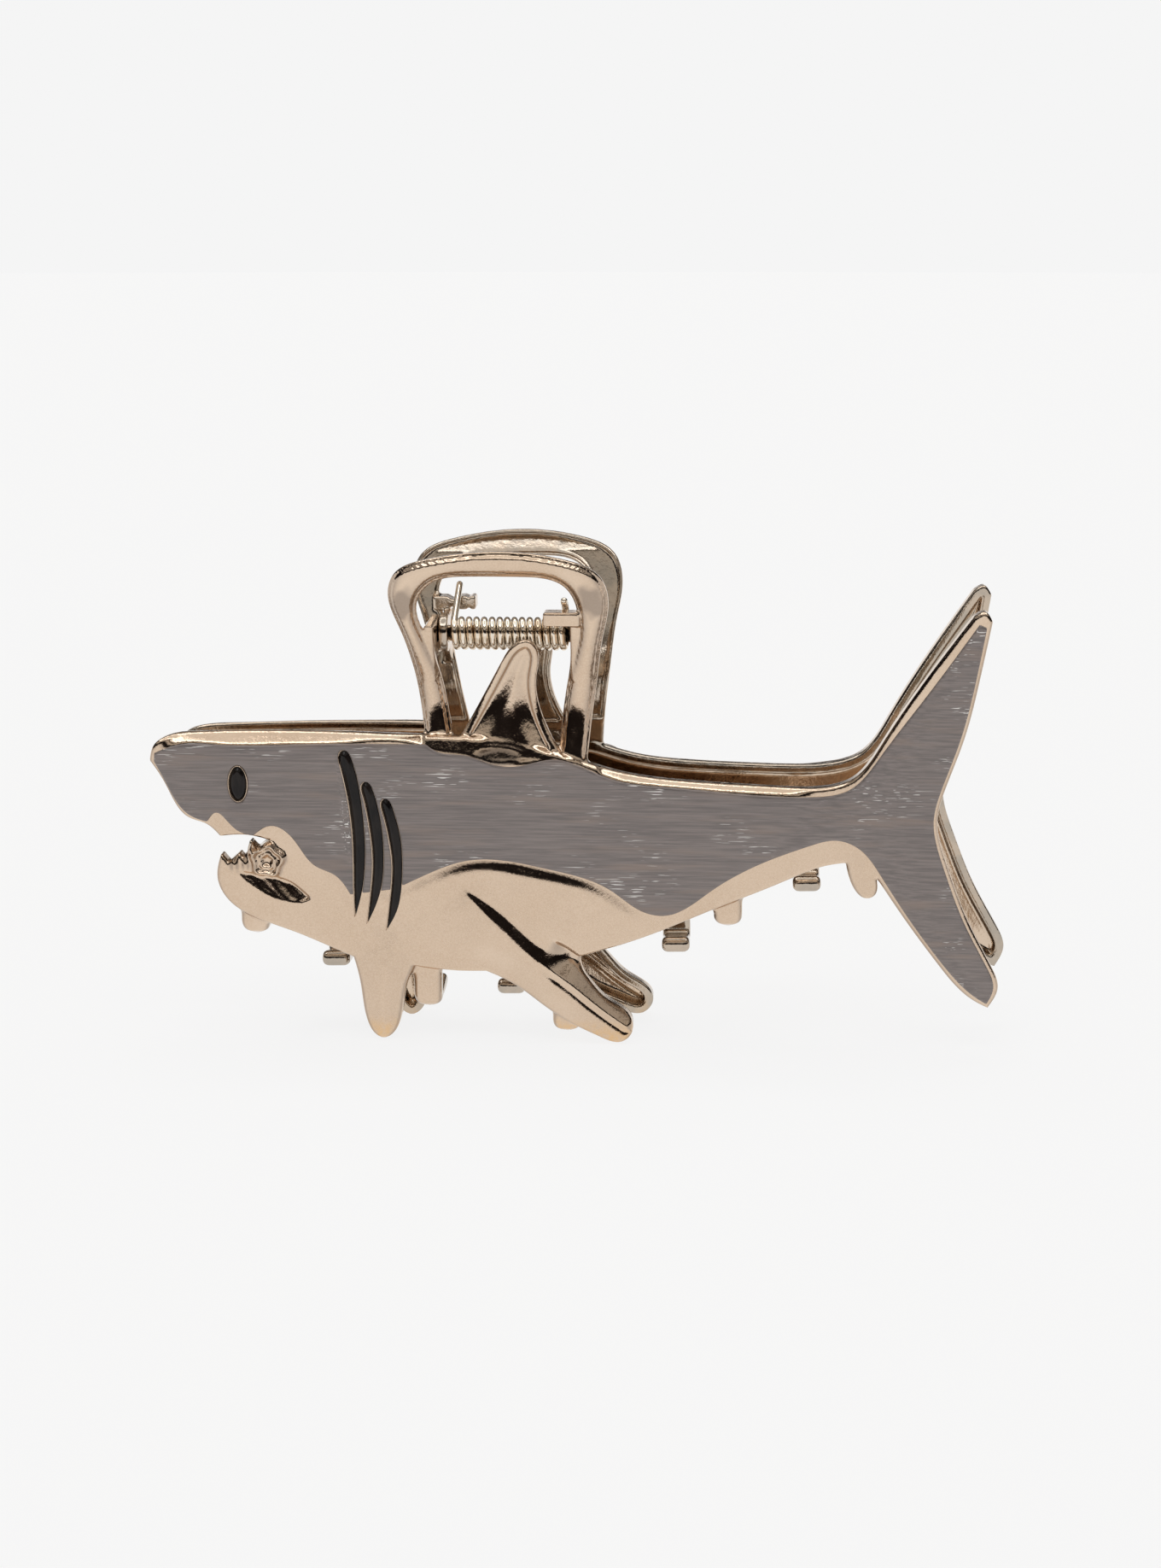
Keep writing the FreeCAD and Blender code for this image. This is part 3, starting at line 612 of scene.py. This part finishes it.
def casting_nets():
    """The surfaces of both castings, which share all but their teeth, lug and ears."""
    x = np.arange(-54.0, 53.0, STEP)
    h = np.arange(-3.4, 14.4, STEP)
    z = np.arange(-0.9, 63.0, STEP)
    tall = z[z < 56.5]
    flat, top, _, _ = outer_skin(x, np.zeros(1), tall)
    lifted = (h[None, :] - flare(x)[:, None])[:, :, None].astype(np.float32)
    face = lifted - top[:, None, :].astype(np.float32)
    flat32 = flat[:, None, :].astype(np.float32)
    shell = rmax(rmax(flat32, face, EDGE_R), RIM_H - lifted, 0.25)
    hollow = rmax(flat32 + RIM_W, face + WALL, 0.6)
    common = np.full((len(x), len(h), len(z)), 6.0, np.float32)
    common[:, :, :len(tall)] = smax(shell, -hollow, 0.3)
    add(common, x, h, z, (-26.0, 7.0), (33.0, 63.0), handle, 0.5)
    add(common, x, h, z, (-19.0, 1.0), (33.0, 53.0), dorsal, 0.5)
    nets = []
    for rear, teeth, bar in ((False, FRONT_TEETH, FRONT_LUG), (True, REAR_TEETH, REAR_LUG)):
        field = common.copy()
        for left, low, root in teeth:
            add(field, x, h, z, (left - 2, left + TOOTH_W + 2), (low - 1.5, root + 2), tooth, 0.9,
                left, low, root)
        for middle in EARS:
            add(field, x, h, z, (middle - 2, middle + 2), (43.0, 54.5), ear, 0.5, middle, rear)
        add(field, x, h, z, (bar[0] - 1.5, bar[1] + 1.5), (51.5, 55.5), lug, 0.5, *bar, rear)
        points, quads, normals = surface(field, (x[0], h[0], z[0]), (STEP,) * 3)
        nets.append(((points, quads, normals), finish_and_painted_light_of(points, normals, x, tall, top)))
    return nets


def painted_reflection_of(x, z, facing, across, high):
    """How much dark reflection is painted on the plating: on side faces, in the loop's corners and on the
    bulge.
    """
    # painted dark reflection on faces turned to the side
    painted_reflection = 0.55 * bell(np.abs(across) - 0.6, 0.28) * ramp(facing, 0.05, 0.3)
    front = ramp(facing, 0.3, 0.6)
    # painted dark reflection patches in the loop's corners, ragged at the edge
    for cx, cz, lean in CORNERS:
        u = (x - cx + lean * (z - cz)) / CORNER_SIZE[0]
        ragged = 0.12 * np.sin(2.9 * x) * np.sin(2.3 * z + cx)
        patch = ramp(1.0 + ragged - np.hypot(u, (z - cz) / CORNER_SIZE[1]), -0.02, 0.5)
        painted_reflection = np.maximum(painted_reflection, 0.62 * patch * front * high)
    # painted dark reflection over the bulge
    spread = np.hypot((x - BULGE[0]) / BULGE_SIZE[0], (z - BULGE[1]) / (BULGE_SIZE[1] + 0.05))
    return np.maximum(painted_reflection, 0.7 * ramp(1.0 - spread, -0.05, 0.35) * front)


def finish_and_painted_light_of(points, normals, x, z, top):
    """How satin, how deep inside (where shade is painted), how gold and how much dark reflection is painted
    at each point of a casting.
    """
    px, ph, pz = points.T
    i = np.clip(((px - x[0]) / STEP).astype(int), 0, len(x) - 1)
    k = np.clip(((pz - z[0]) / STEP).astype(int), 0, len(z) - 1)
    depth = top[i, k] + flare(px) - ph
    facing = normals[:, 1]
    high = ramp(pz, 37.5, 39.0)
    mirror = bell(np.hypot(px - TONGUE[0], pz - TONGUE[1] + 1.5), 4.6)
    satin = ramp(facing, 0.955, 0.99) * (1.0 - 0.75 * high) * (1.0 - 0.9 * mirror)
    # painted shade inside the hollow back, and on faces turned inward high up
    inner = ramp(depth, 0.8, 1.4) * ramp(-facing, -0.6, 0.1) * (1.0 - high)
    inner = np.maximum(inner, ramp(-facing, 0.1, 0.6) * high)
    gold = ramp(3.4 - pz, 0.0, 3.0)
    return np.stack([satin, inner, gold, painted_reflection_of(px, pz, facing, normals[:, 0], high)], axis=1)


# ---------------------------------------------------------------- enamel fields
def eye_loop():
    """The eye's outline, an upright ellipse."""
    t = np.linspace(0.0, 2.0 * math.pi, 48, endpoint=False)
    return np.stack([EYE[0] + EYE_RX * np.cos(t), EYE[1] + EYE_RZ * np.sin(t)], axis=1)


def bent(net):
    """A net in unbent heights, carried out with the tail."""
    points, quads, normals = net
    points = points.copy()
    normals = normals.copy()
    slope = (flare(points[:, 0] + 0.1) - flare(points[:, 0] - 0.1)) / 0.2
    points[:, 1] += flare(points[:, 0])
    normals[:, 0] -= slope * normals[:, 1]
    return points, quads, normals / np.linalg.norm(normals, axis=1, keepdims=True)


def grey_net():
    """The grey coat, a thin layer that follows the face and leaves the gills and the eye open."""
    step = (STEP, 0.1, STEP)
    x = np.arange(-54.0, 53.0, STEP)
    h = np.arange(5.2, 8.2, step[1])
    z = np.arange(3.0, 56.0, STEP)
    _, _, _, skin = outer_skin(x, h, z)
    cover = distance(x, z, loop_of(GREY))
    for gill in GILLS:
        cover = np.maximum(cover, GILL_GAP - distance(x, z, loop_of([gill])))
    cover = np.maximum(cover, EYE_GAP - distance(x, z, eye_loop()))
    field = rmax(cover[:, None, :], skin - ENAMEL_T, 0.18)
    field = np.maximum(field, -GREY_SUNK - skin)
    field = np.maximum(field, (GREY_LOW_H - h)[None, :, None])
    return bent(surface(field.astype(np.float32), (x[0], h[0], z[0]), step))


def small_net(loop, shape):
    """A small raised piece on the front face, from its outline."""
    low, high = loop.min(0) - 0.7, loop.max(0) + 0.7
    x = np.arange(low[0], high[0], FINE)
    z = np.arange(low[1], high[1], FINE)
    h = np.arange(FACE_H - 0.6, FACE_H + 1.3, FINE)
    _, _, face, _ = outer_skin(x, h, z)
    field = shape(distance(x, z, loop)[:, None, :], face)
    return surface(field.astype(np.float32), (x[0], h[0], z[0]), (FINE,) * 3)


def drop(edge, face):
    """Glossy enamel, domed inside its outline."""
    dome = 0.16 + (GLOSS_T - 0.16) * ramp(-edge, 0.0, 0.6)
    return np.maximum(rmax(edge, face - dome, 0.12), -SUNK - face)


def wall_round(edge, face):
    """The thin plated wall round an enamel drop."""
    return np.maximum(rmax(np.abs(edge - 0.08) - 0.07, face - 0.38, 0.06), -SUNK - face)


def wall_left(edge, face):
    """The wall along the left side only, where the gill's two sides are told apart by slope."""
    slope = np.gradient(edge[:, 0, :], axis=0)[:, None, :] / FINE
    return smax(wall_round(edge, face), 0.6 * (slope + 0.35), 0.1)


# ---------------------------------------------------------------- spring and pin
def tube(centres, radius, sides=14):
    """A round wire along the points, with rounded ends: points and faces."""
    c = np.array(centres, float)
    way = np.gradient(c, axis=0)
    way /= np.linalg.norm(way, axis=1, keepdims=True)
    across = np.cross(way[0], (1.0, 0.0, 0.0))
    rings = []
    for i in range(len(c)):
        across = across - way[i] * (across @ way[i])
        across /= np.linalg.norm(across)
        rings.append((c[i], way[i], across.copy(), radius))
    caps = []
    for end, sign in ((0, -1.0), (-1, 1.0)):
        centre, along_, side, _ = rings[end]
        steps = [(math.sin(a), math.cos(a)) for a in np.radians([30, 55, 75, 87])]
        caps.append([(centre + sign * radius * s * along_, along_, side, radius * q) for s, q in steps])
    rings = caps[0][::-1] + rings + caps[1]
    angles = np.linspace(0.0, 2.0 * math.pi, sides, endpoint=False)
    points = []
    for centre, along_, side, r in rings:
        third = np.cross(along_, side)
        points += [centre + r * (math.cos(a) * side + math.sin(a) * third) for a in angles]
    faces = []
    for i in range(len(rings) - 1):
        for j in range(sides):
            n = (j + 1) % sides
            faces.append((i * sides + j, i * sides + n, (i + 1) * sides + n, (i + 1) * sides + j))
    last = (len(rings) - 1) * sides
    faces.append(tuple(range(sides))[::-1])
    faces.append(tuple(last + j for j in range(sides)))
    return np.array(points), faces


def spring_path():
    """The wire from the left leg's tip, round the coil, to the right leg's tip."""
    leg_y, leg_z = 7.4, 55.5
    rise = leg_z - HINGE_Z
    slope = math.atan2(rise, leg_y) - math.asin(COIL_R / math.hypot(rise, leg_y))
    turned = 2.0 * math.pi * COIL_TURNS - 2.0 * slope
    length = turned / (2.0 * math.pi) * COIL_PITCH
    left = 0.5 * (EARS[0] + 0.5 * EAR_T + REAR_SHIFT + EARS[1] - 0.5 * EAR_T - length)
    coil = []
    for t in np.linspace(0.0, 1.0, COIL_TURNS * 36):
        a = 0.5 * math.pi + slope + t * turned
        wobble = 0.035 * math.sin(5.3 * t * COIL_TURNS + 1.0) * math.sin(math.pi * t)
        coil.append((left + t * length + wobble, COIL_R * math.cos(a), HINGE_Z + COIL_R * math.sin(a)))
    legs = np.linspace(0.0, 1.0, 12)[:-1, None]
    lead = np.array((left, leg_y - 0.4, leg_z - 0.2)) * (1 - legs) + np.array(coil[0]) * legs
    tail = np.array((left + length, 0.4 - leg_y, leg_z - 0.2)) * (1 - legs) + np.array(coil[-1]) * legs
    return np.concatenate([lead, coil, tail[::-1]]), left, left + length


def make_spring(material):
    """The torsion spring as one wire, fixed in place."""
    path, left, right = spring_path()
    points, faces = tube(path, WIRE_R)
    points = (points + (ORIGIN_X, 0.0, ORIGIN_Z)) * MM
    obj = new_object("spring_wire", points, faces, material)
    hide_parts("torsion_spring")
    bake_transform(obj)


def make_pin(material):
    """The hinge pin, turned, with a peened head at each end."""
    low, high = PIN_ENDS
    head = [(0.0, 0.0), (0.02, 0.55), (0.1, 1.0), (0.24, 1.32), (0.42, 1.48), (0.58, 1.46), (0.6, 1.3),
            (0.62, PIN_R)]
    profile = [(low + a, r) for a, r in head] + [(high - a, r) for a, r in reversed(head)]
    sides = 48
    points, faces = [], []
    for x, r in profile:
        for j in range(sides):
            a = 2.0 * math.pi * j / sides
            points.append((x + ORIGIN_X, r * math.cos(a), r * math.sin(a) + HINGE_Z + ORIGIN_Z))
    for i in range(len(profile) - 1):
        for j in range(sides):
            n = (j + 1) % sides
            faces.append((i * sides + j, (i + 1) * sides + j, (i + 1) * sides + n, i * sides + n))
    obj = new_object("turned_pin", np.array(points) * MM, faces, material)
    weld(obj.data)
    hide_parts("hinge_pin")
    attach(obj, "front_half")


def weld(mesh):
    """Close the two poles of a turned piece and face it outwards."""
    bm = bmesh.new()
    bm.from_mesh(mesh)
    bmesh.ops.remove_doubles(bm, verts=bm.verts, dist=1e-6)
    bmesh.ops.recalc_face_normals(bm, faces=bm.faces)
    bm.to_mesh(mesh)
    bm.free()


# ---------------------------------------------------------------- materials
class Nodes:
    """A material's node tree, built from short calls. Colours are linear."""

    def __init__(self, name):
        self.material = bpy.data.materials.new(name)
        self.material.use_nodes = True
        self.tree = self.material.node_tree
        self.shader = self.tree.nodes["Principled BSDF"]
        coords = self.tree.nodes.new("ShaderNodeTexCoord")
        self.coords = coords.outputs["Object"]

    def add(self, kind, **settings):
        node = self.tree.nodes.new(kind)
        for key, value in settings.items():
            setattr(node, key, value)
        return node

    def put(self, value, socket):
        if isinstance(value, (int, float, tuple)):
            socket.default_value = value
        else:
            self.tree.links.new(value, socket)

    def noise(self, size_mm, stretch=(1.0, 1.0, 1.0), detail=3.0, rough=0.55):
        """Noise with features of a size, drawn out along the axes by stretch."""
        mapping = self.add("ShaderNodeMapping")
        self.put(self.coords, mapping.inputs["Vector"])
        mapping.inputs["Scale"].default_value = [1.0 / (size_mm * MM * s) for s in stretch]
        node = self.add("ShaderNodeTexNoise")
        self.put(mapping.outputs["Vector"], node.inputs["Vector"])
        node.inputs["Scale"].default_value = 1.0
        node.inputs["Detail"].default_value = detail
        node.inputs["Roughness"].default_value = rough
        return node.outputs["Fac"]

    def spread(self, value, low, high, to_low=0.0, to_high=1.0):
        node = self.add("ShaderNodeMapRange", interpolation_type="SMOOTHSTEP")
        for key, number in (("From Min", low), ("From Max", high), ("To Min", to_low), ("To Max", to_high)):
            node.inputs[key].default_value = number
        self.put(value, node.inputs["Value"])
        return node.outputs["Result"]

    def math(self, kind, a, b):
        node = self.add("ShaderNodeMath", operation=kind)
        self.put(a, node.inputs[0])
        self.put(b, node.inputs[1])
        return node.outputs[0]

    def mix(self, share, a, b):
        node = self.add("ShaderNodeMix", data_type="RGBA")
        self.put(share, node.inputs["Factor"])
        self.put(a, node.inputs[6])
        self.put(b, node.inputs[7])
        return node.outputs[2]

    def finish_and_painted_light(self):
        node = self.add("ShaderNodeAttribute", attribute_name="finish_and_painted_light")
        split = self.add("ShaderNodeSeparateColor")
        self.put(node.outputs["Color"], split.inputs["Color"])
        return split.outputs["Red"], split.outputs["Green"], split.outputs["Blue"], node.outputs["Alpha"]

    def bump(self, height, depth_mm, under=None):
        node = self.add("ShaderNodeBump")
        node.inputs["Strength"].default_value = 1.0
        node.inputs["Distance"].default_value = depth_mm * MM
        self.put(height, node.inputs["Height"])
        if under is not None:
            self.put(under, node.inputs["Normal"])
        return node.outputs["Normal"]


def plated_material():
    """Champagne plating: grainy satin on the flats, bright at the edges, painted shade inside, painted dark
    reflections on side faces, in the loop's corners and on the bulge.
    """
    n = Nodes("champagne_plating")
    satin, inner, gold, painted_reflection = n.finish_and_painted_light()
    cloud = n.spread(n.noise(9.0), 0.35, 0.65)
    grain = n.spread(n.noise(0.22, detail=2.0), 0.3, 0.7)
    color = n.mix(cloud, (0.735, 0.575, 0.435, 1.0), (0.665, 0.505, 0.37, 1.0))
    color = n.mix(n.math("MULTIPLY", satin, 0.6), color, (0.645, 0.49, 0.36, 1.0))
    color = n.mix(n.math("MULTIPLY", grain, 0.35), color, (0.80, 0.65, 0.51, 1.0))
    color = n.mix(n.math("MULTIPLY", gold, n.spread(n.noise(0.8), 0.35, 0.6, 0.25, 0.9)), color,
                  (0.78, 0.52, 0.28, 1.0))
    # painted shade: a darker brown inside the hollows and on faces turned inward
    inner_shade = n.math("MULTIPLY", inner, n.spread(n.noise(2.5), 0.3, 0.7, 0.55, 1.0))
    color = n.mix(inner_shade, color, (0.45, 0.395, 0.33, 1.0))
    # painted dark reflection: a dark brown over the side faces, the loop's corners and the bulge
    color = n.mix(painted_reflection, color, (0.215, 0.175, 0.150, 1.0))
    n.put(color, n.shader.inputs["Base Color"])
    n.shader.inputs["Metallic"].default_value = 1.0
    rough = n.math("ADD", n.math("MULTIPLY", satin, 0.17), n.spread(n.noise(1.3), 0.3, 0.7, 0.05, 0.12))
    n.put(rough, n.shader.inputs["Roughness"])
    ripple = n.bump(n.noise(0.7, (1.0, 1.0, 1.8), detail=4.0, rough=0.68), 0.042)
    fine = n.bump(n.math("MULTIPLY", n.noise(0.16, detail=2.0), n.spread(satin, 0.0, 1.0, 0.25, 1.0)),
                  0.010, ripple)
    n.put(fine, n.shader.inputs["Normal"])
    return n.material


def enamel_material():
    """Warm grey enamel, brushed along the body, with bright scratches."""
    n = Nodes("brushed_grey_enamel")
    streak = n.noise(0.22, (30.0, 1.0, 1.0), detail=4.0, rough=0.6)
    broad = n.noise(1.2, (12.0, 1.0, 1.0), detail=3.0)
    color = n.mix(n.spread(streak, 0.3, 0.7), (0.190, 0.165, 0.157, 1.0), (0.300, 0.257, 0.241, 1.0))
    color = n.mix(n.spread(broad, 0.50, 0.75, 0.0, 0.6), color, (0.33, 0.255, 0.215, 1.0))
    sparkle = n.spread(n.noise(0.135, (20.0, 1.0, 1.0), detail=1.0), 0.635, 0.685)
    where = n.spread(n.noise(6.0, (1.6, 1.0, 1.0), detail=1.0), 0.52, 0.655)
    scratch = n.math("MULTIPLY", sparkle, where)
    color = n.mix(scratch, color, (0.95, 0.92, 0.88, 1.0))
    n.put(color, n.shader.inputs["Base Color"])
    n.put(n.spread(streak, 0.3, 0.7, 0.30, 0.46), n.shader.inputs["Roughness"])
    n.shader.inputs["Metallic"].default_value = 0.25
    n.put(n.bump(n.math("ADD", streak, n.math("MULTIPLY", scratch, 0.6)), 0.012), n.shader.inputs["Normal"])
    return n.material


def gloss_material():
    """Black glossy enamel with a trace of dust and unevenness."""
    n = Nodes("black_gloss_enamel")
    cloud = n.noise(1.2, (1.0, 1.0, 3.0))
    n.put(n.mix(n.spread(cloud, 0.3, 0.7), (0.006, 0.005, 0.005, 1.0), (0.020, 0.015, 0.013, 1.0)),
          n.shader.inputs["Base Color"])
    n.shader.inputs["Specular IOR Level"].default_value = 0.22
    n.put(n.spread(n.noise(0.4), 0.3, 0.7, 0.07, 0.2), n.shader.inputs["Roughness"])
    n.put(n.bump(n.noise(0.9, (1.0, 1.0, 2.0), detail=1.0), 0.03), n.shader.inputs["Normal"])
    return n.material


def wire_material(name, color, warm, rough):
    """Drawn and plated wire or rod: bright, with brown stains and fine lines."""
    n = Nodes(name)
    stain = n.spread(n.noise(2.2, detail=4.0), 0.48, 0.68)
    n.put(n.mix(stain, color, warm), n.shader.inputs["Base Color"])
    n.shader.inputs["Metallic"].default_value = 1.0
    n.put(n.spread(n.noise(0.3), 0.3, 0.7, rough, rough + 0.12), n.shader.inputs["Roughness"])
    n.put(n.bump(n.noise(0.15), 0.004), n.shader.inputs["Normal"])
    return n.material


# ---------------------------------------------------------------- the clip
plating = plated_material()
grey = enamel_material()
gloss = gloss_material()
wire = wire_material("spring_steel", (0.86, 0.77, 0.65, 1.0), (0.60, 0.46, 0.32, 1.0), 0.06)
rod = wire_material("pin_steel", (0.78, 0.68, 0.57, 1.0), (0.66, 0.52, 0.38, 1.0), 0.12)

for rear, (net, finish_and_painted_light) in zip((False, True), casting_nets()):
    side = "rear" if rear else "front"
    piece(side + "_shell", side + "_casting", net, rear, plating, finish_and_painted_light)

grey_sheet = grey_net()
drops = [("eye", eye_loop())] + [("gill_%d" % (i + 1), loop_of([g])) for i, g in enumerate(GILLS)]
small = [(name, small_net(loop, drop), small_net(loop, wall_round if name == "eye" else wall_left))
         for name, loop in drops]
for rear in (False, True):
    side = "rear" if rear else "front"
    piece(side + "_grey_coat", side + "_grey_enamel", grey_sheet, rear, grey)
    for name, net, wall in small:
        piece("%s_%s_drop" % (side, name), "%s_%s_enamel" % (side, name), net, rear, gloss)
        # the plated walls round the drops: a little satin and a fixed share of painted dark reflection
        wall_finish_and_painted_reflection = np.tile((0.2, 0.0, 0.0, 0.3), (len(wall[0]), 1))
        piece("%s_%s_wall" % (side, name), None, wall, rear, plating, wall_finish_and_painted_reflection)

make_spring(wire)
make_pin(rod)


# ---------------------------------------------------------------- stage
PALE = 0.913            # the backdrop's brightness
ROOM = 4.0              # from the clip to the edge of the floor and to the backdrop, m
FLOOR_TONE = 0.12       # how much of the studio's light the floor gives back
FLOOR_LIT = 0.07        # and what that adds to its own glow
CAMERA_SIDE = math.radians(3.0)     # round to the tail's side
CAMERA_UP = math.radians(12.0)
CAMERA_AWAY = 340.0     # from the clip, mm
CAMERA_AIM_Z = 31.3
LENS = 62.56
# the studio's light: the sine of the height above the horizon, and the colour there
STUDIO = [
    (0.0, (PALE, PALE, PALE, 1.0)), (0.12, (PALE, PALE, PALE, 1.0)), (0.15, (0.14, 0.10, 0.08, 1.0)),
    (0.19, (0.012, 0.010, 0.010, 1.0)), (0.50, (0.012, 0.010, 0.010, 1.0)),
    (0.56, (0.48, 0.46, 0.43, 1.0)), (0.68, (0.60, 0.57, 0.53, 1.0)), (0.74, (0.20, 0.17, 0.14, 1.0)),
    (0.82, (0.05, 0.045, 0.04, 1.0)), (0.85, (2.8, 2.8, 2.8, 1.0)), (0.90, (2.8, 2.8, 2.8, 1.0)),
    (0.93, (0.82, 0.80, 0.77, 1.0)), (1.0, (0.92, 0.90, 0.87, 1.0)),
]


def stage_piece(name, points, faces, base, glow):
    """A matt part of the stage: base is its tone under light, glow its own brightness."""
    mesh = bpy.data.meshes.new(name)
    mesh.from_pydata(points, [], faces)
    obj = bpy.data.objects.new(name, mesh)
    bpy.context.scene.collection.objects.link(obj)
    material = bpy.data.materials.new(name + "_paint")
    material.use_nodes = True
    shader = material.node_tree.nodes["Principled BSDF"]
    shader.inputs["Base Color"].default_value = (base, base, base, 1.0)
    shader.inputs["Roughness"].default_value = 1.0
    shader.inputs["Specular IOR Level"].default_value = 0.0
    shader.inputs["Emission Color"].default_value = (1.0, 1.0, 1.0, 1.0)
    shader.inputs["Emission Strength"].default_value = glow
    mesh.materials.append(material)
    return obj


def make_floor():
    """The plain floor under the clip."""
    corners = [(-ROOM, -ROOM, 0.0), (ROOM, -ROOM, 0.0), (ROOM, ROOM, 0.0), (-ROOM, ROOM, 0.0)]
    stage_piece("floor", corners, [(0, 1, 2, 3)], FLOOR_TONE, PALE - FLOOR_LIT)


def make_backdrop():
    """A pale dome for the background; reflections and light pass through it to the studio."""
    rows, sides = 10, 48
    points = []
    for row in range(rows):
        up = 0.5 * math.pi * row / rows
        for j in range(sides):
            a = 2.0 * math.pi * j / sides
            points.append((ROOM * math.cos(up) * math.cos(a), ROOM * math.cos(up) * math.sin(a),
                           ROOM * math.sin(up)))
    points.append((0.0, 0.0, ROOM))
    faces = []
    for j in range(sides):
        n = (j + 1) % sides
        faces += [(i * sides + j, i * sides + n, (i + 1) * sides + n, (i + 1) * sides + j)
                  for i in range(rows - 1)]
        faces.append(((rows - 1) * sides + j, (rows - 1) * sides + n, rows * sides))
    dome = stage_piece("backdrop", points, faces, 0.0, PALE)
    dome.visible_glossy = False
    dome.visible_diffuse = False
    dome.visible_transmission = False
    dome.visible_shadow = False


def make_world():
    """Pale low down all round, a dark band above it, then dim, dark and one bright strip."""
    world = bpy.data.worlds.new("studio")
    bpy.context.scene.world = world
    world.use_nodes = True
    tree = world.node_tree
    back = tree.nodes["Background"]
    coords = tree.nodes.new("ShaderNodeTexCoord")
    split = tree.nodes.new("ShaderNodeSeparateXYZ")
    tree.links.new(coords.outputs["Generated"], split.inputs["Vector"])
    table = tree.nodes.new("ShaderNodeValToRGB")
    tree.links.new(split.outputs["Z"], table.inputs["Fac"])
    elements = table.color_ramp.elements
    elements[0].position, elements[0].color = STUDIO[0]
    elements[1].position, elements[1].color = STUDIO[-1]
    for spot, color in STUDIO[1:-1]:
        elements.new(spot).color = color
    tree.links.new(table.outputs["Color"], back.inputs["Color"])


def make_camera():
    """The camera at the photograph's angle."""
    target = Vector((ORIGIN_X, 0.0, CAMERA_AIM_Z + ORIGIN_Z)) * MM
    level = math.cos(CAMERA_UP)
    back = Vector((math.sin(CAMERA_SIDE) * level, -math.cos(CAMERA_SIDE) * level, math.sin(CAMERA_UP)))
    data = bpy.data.cameras.new("camera")
    data.sensor_fit = "VERTICAL"
    data.sensor_height = 36.0
    data.lens = LENS
    data.clip_start = 0.01
    camera = bpy.data.objects.new("camera", data)
    camera.location = target + back * CAMERA_AWAY * MM
    camera.rotation_euler = back.to_track_quat("Z", "Y").to_euler()
    bpy.context.scene.collection.objects.link(camera)
    bpy.context.scene.camera = camera


make_floor()
make_backdrop()
make_world()
make_camera()
bpy.context.scene.view_settings.view_transform = "Standard"
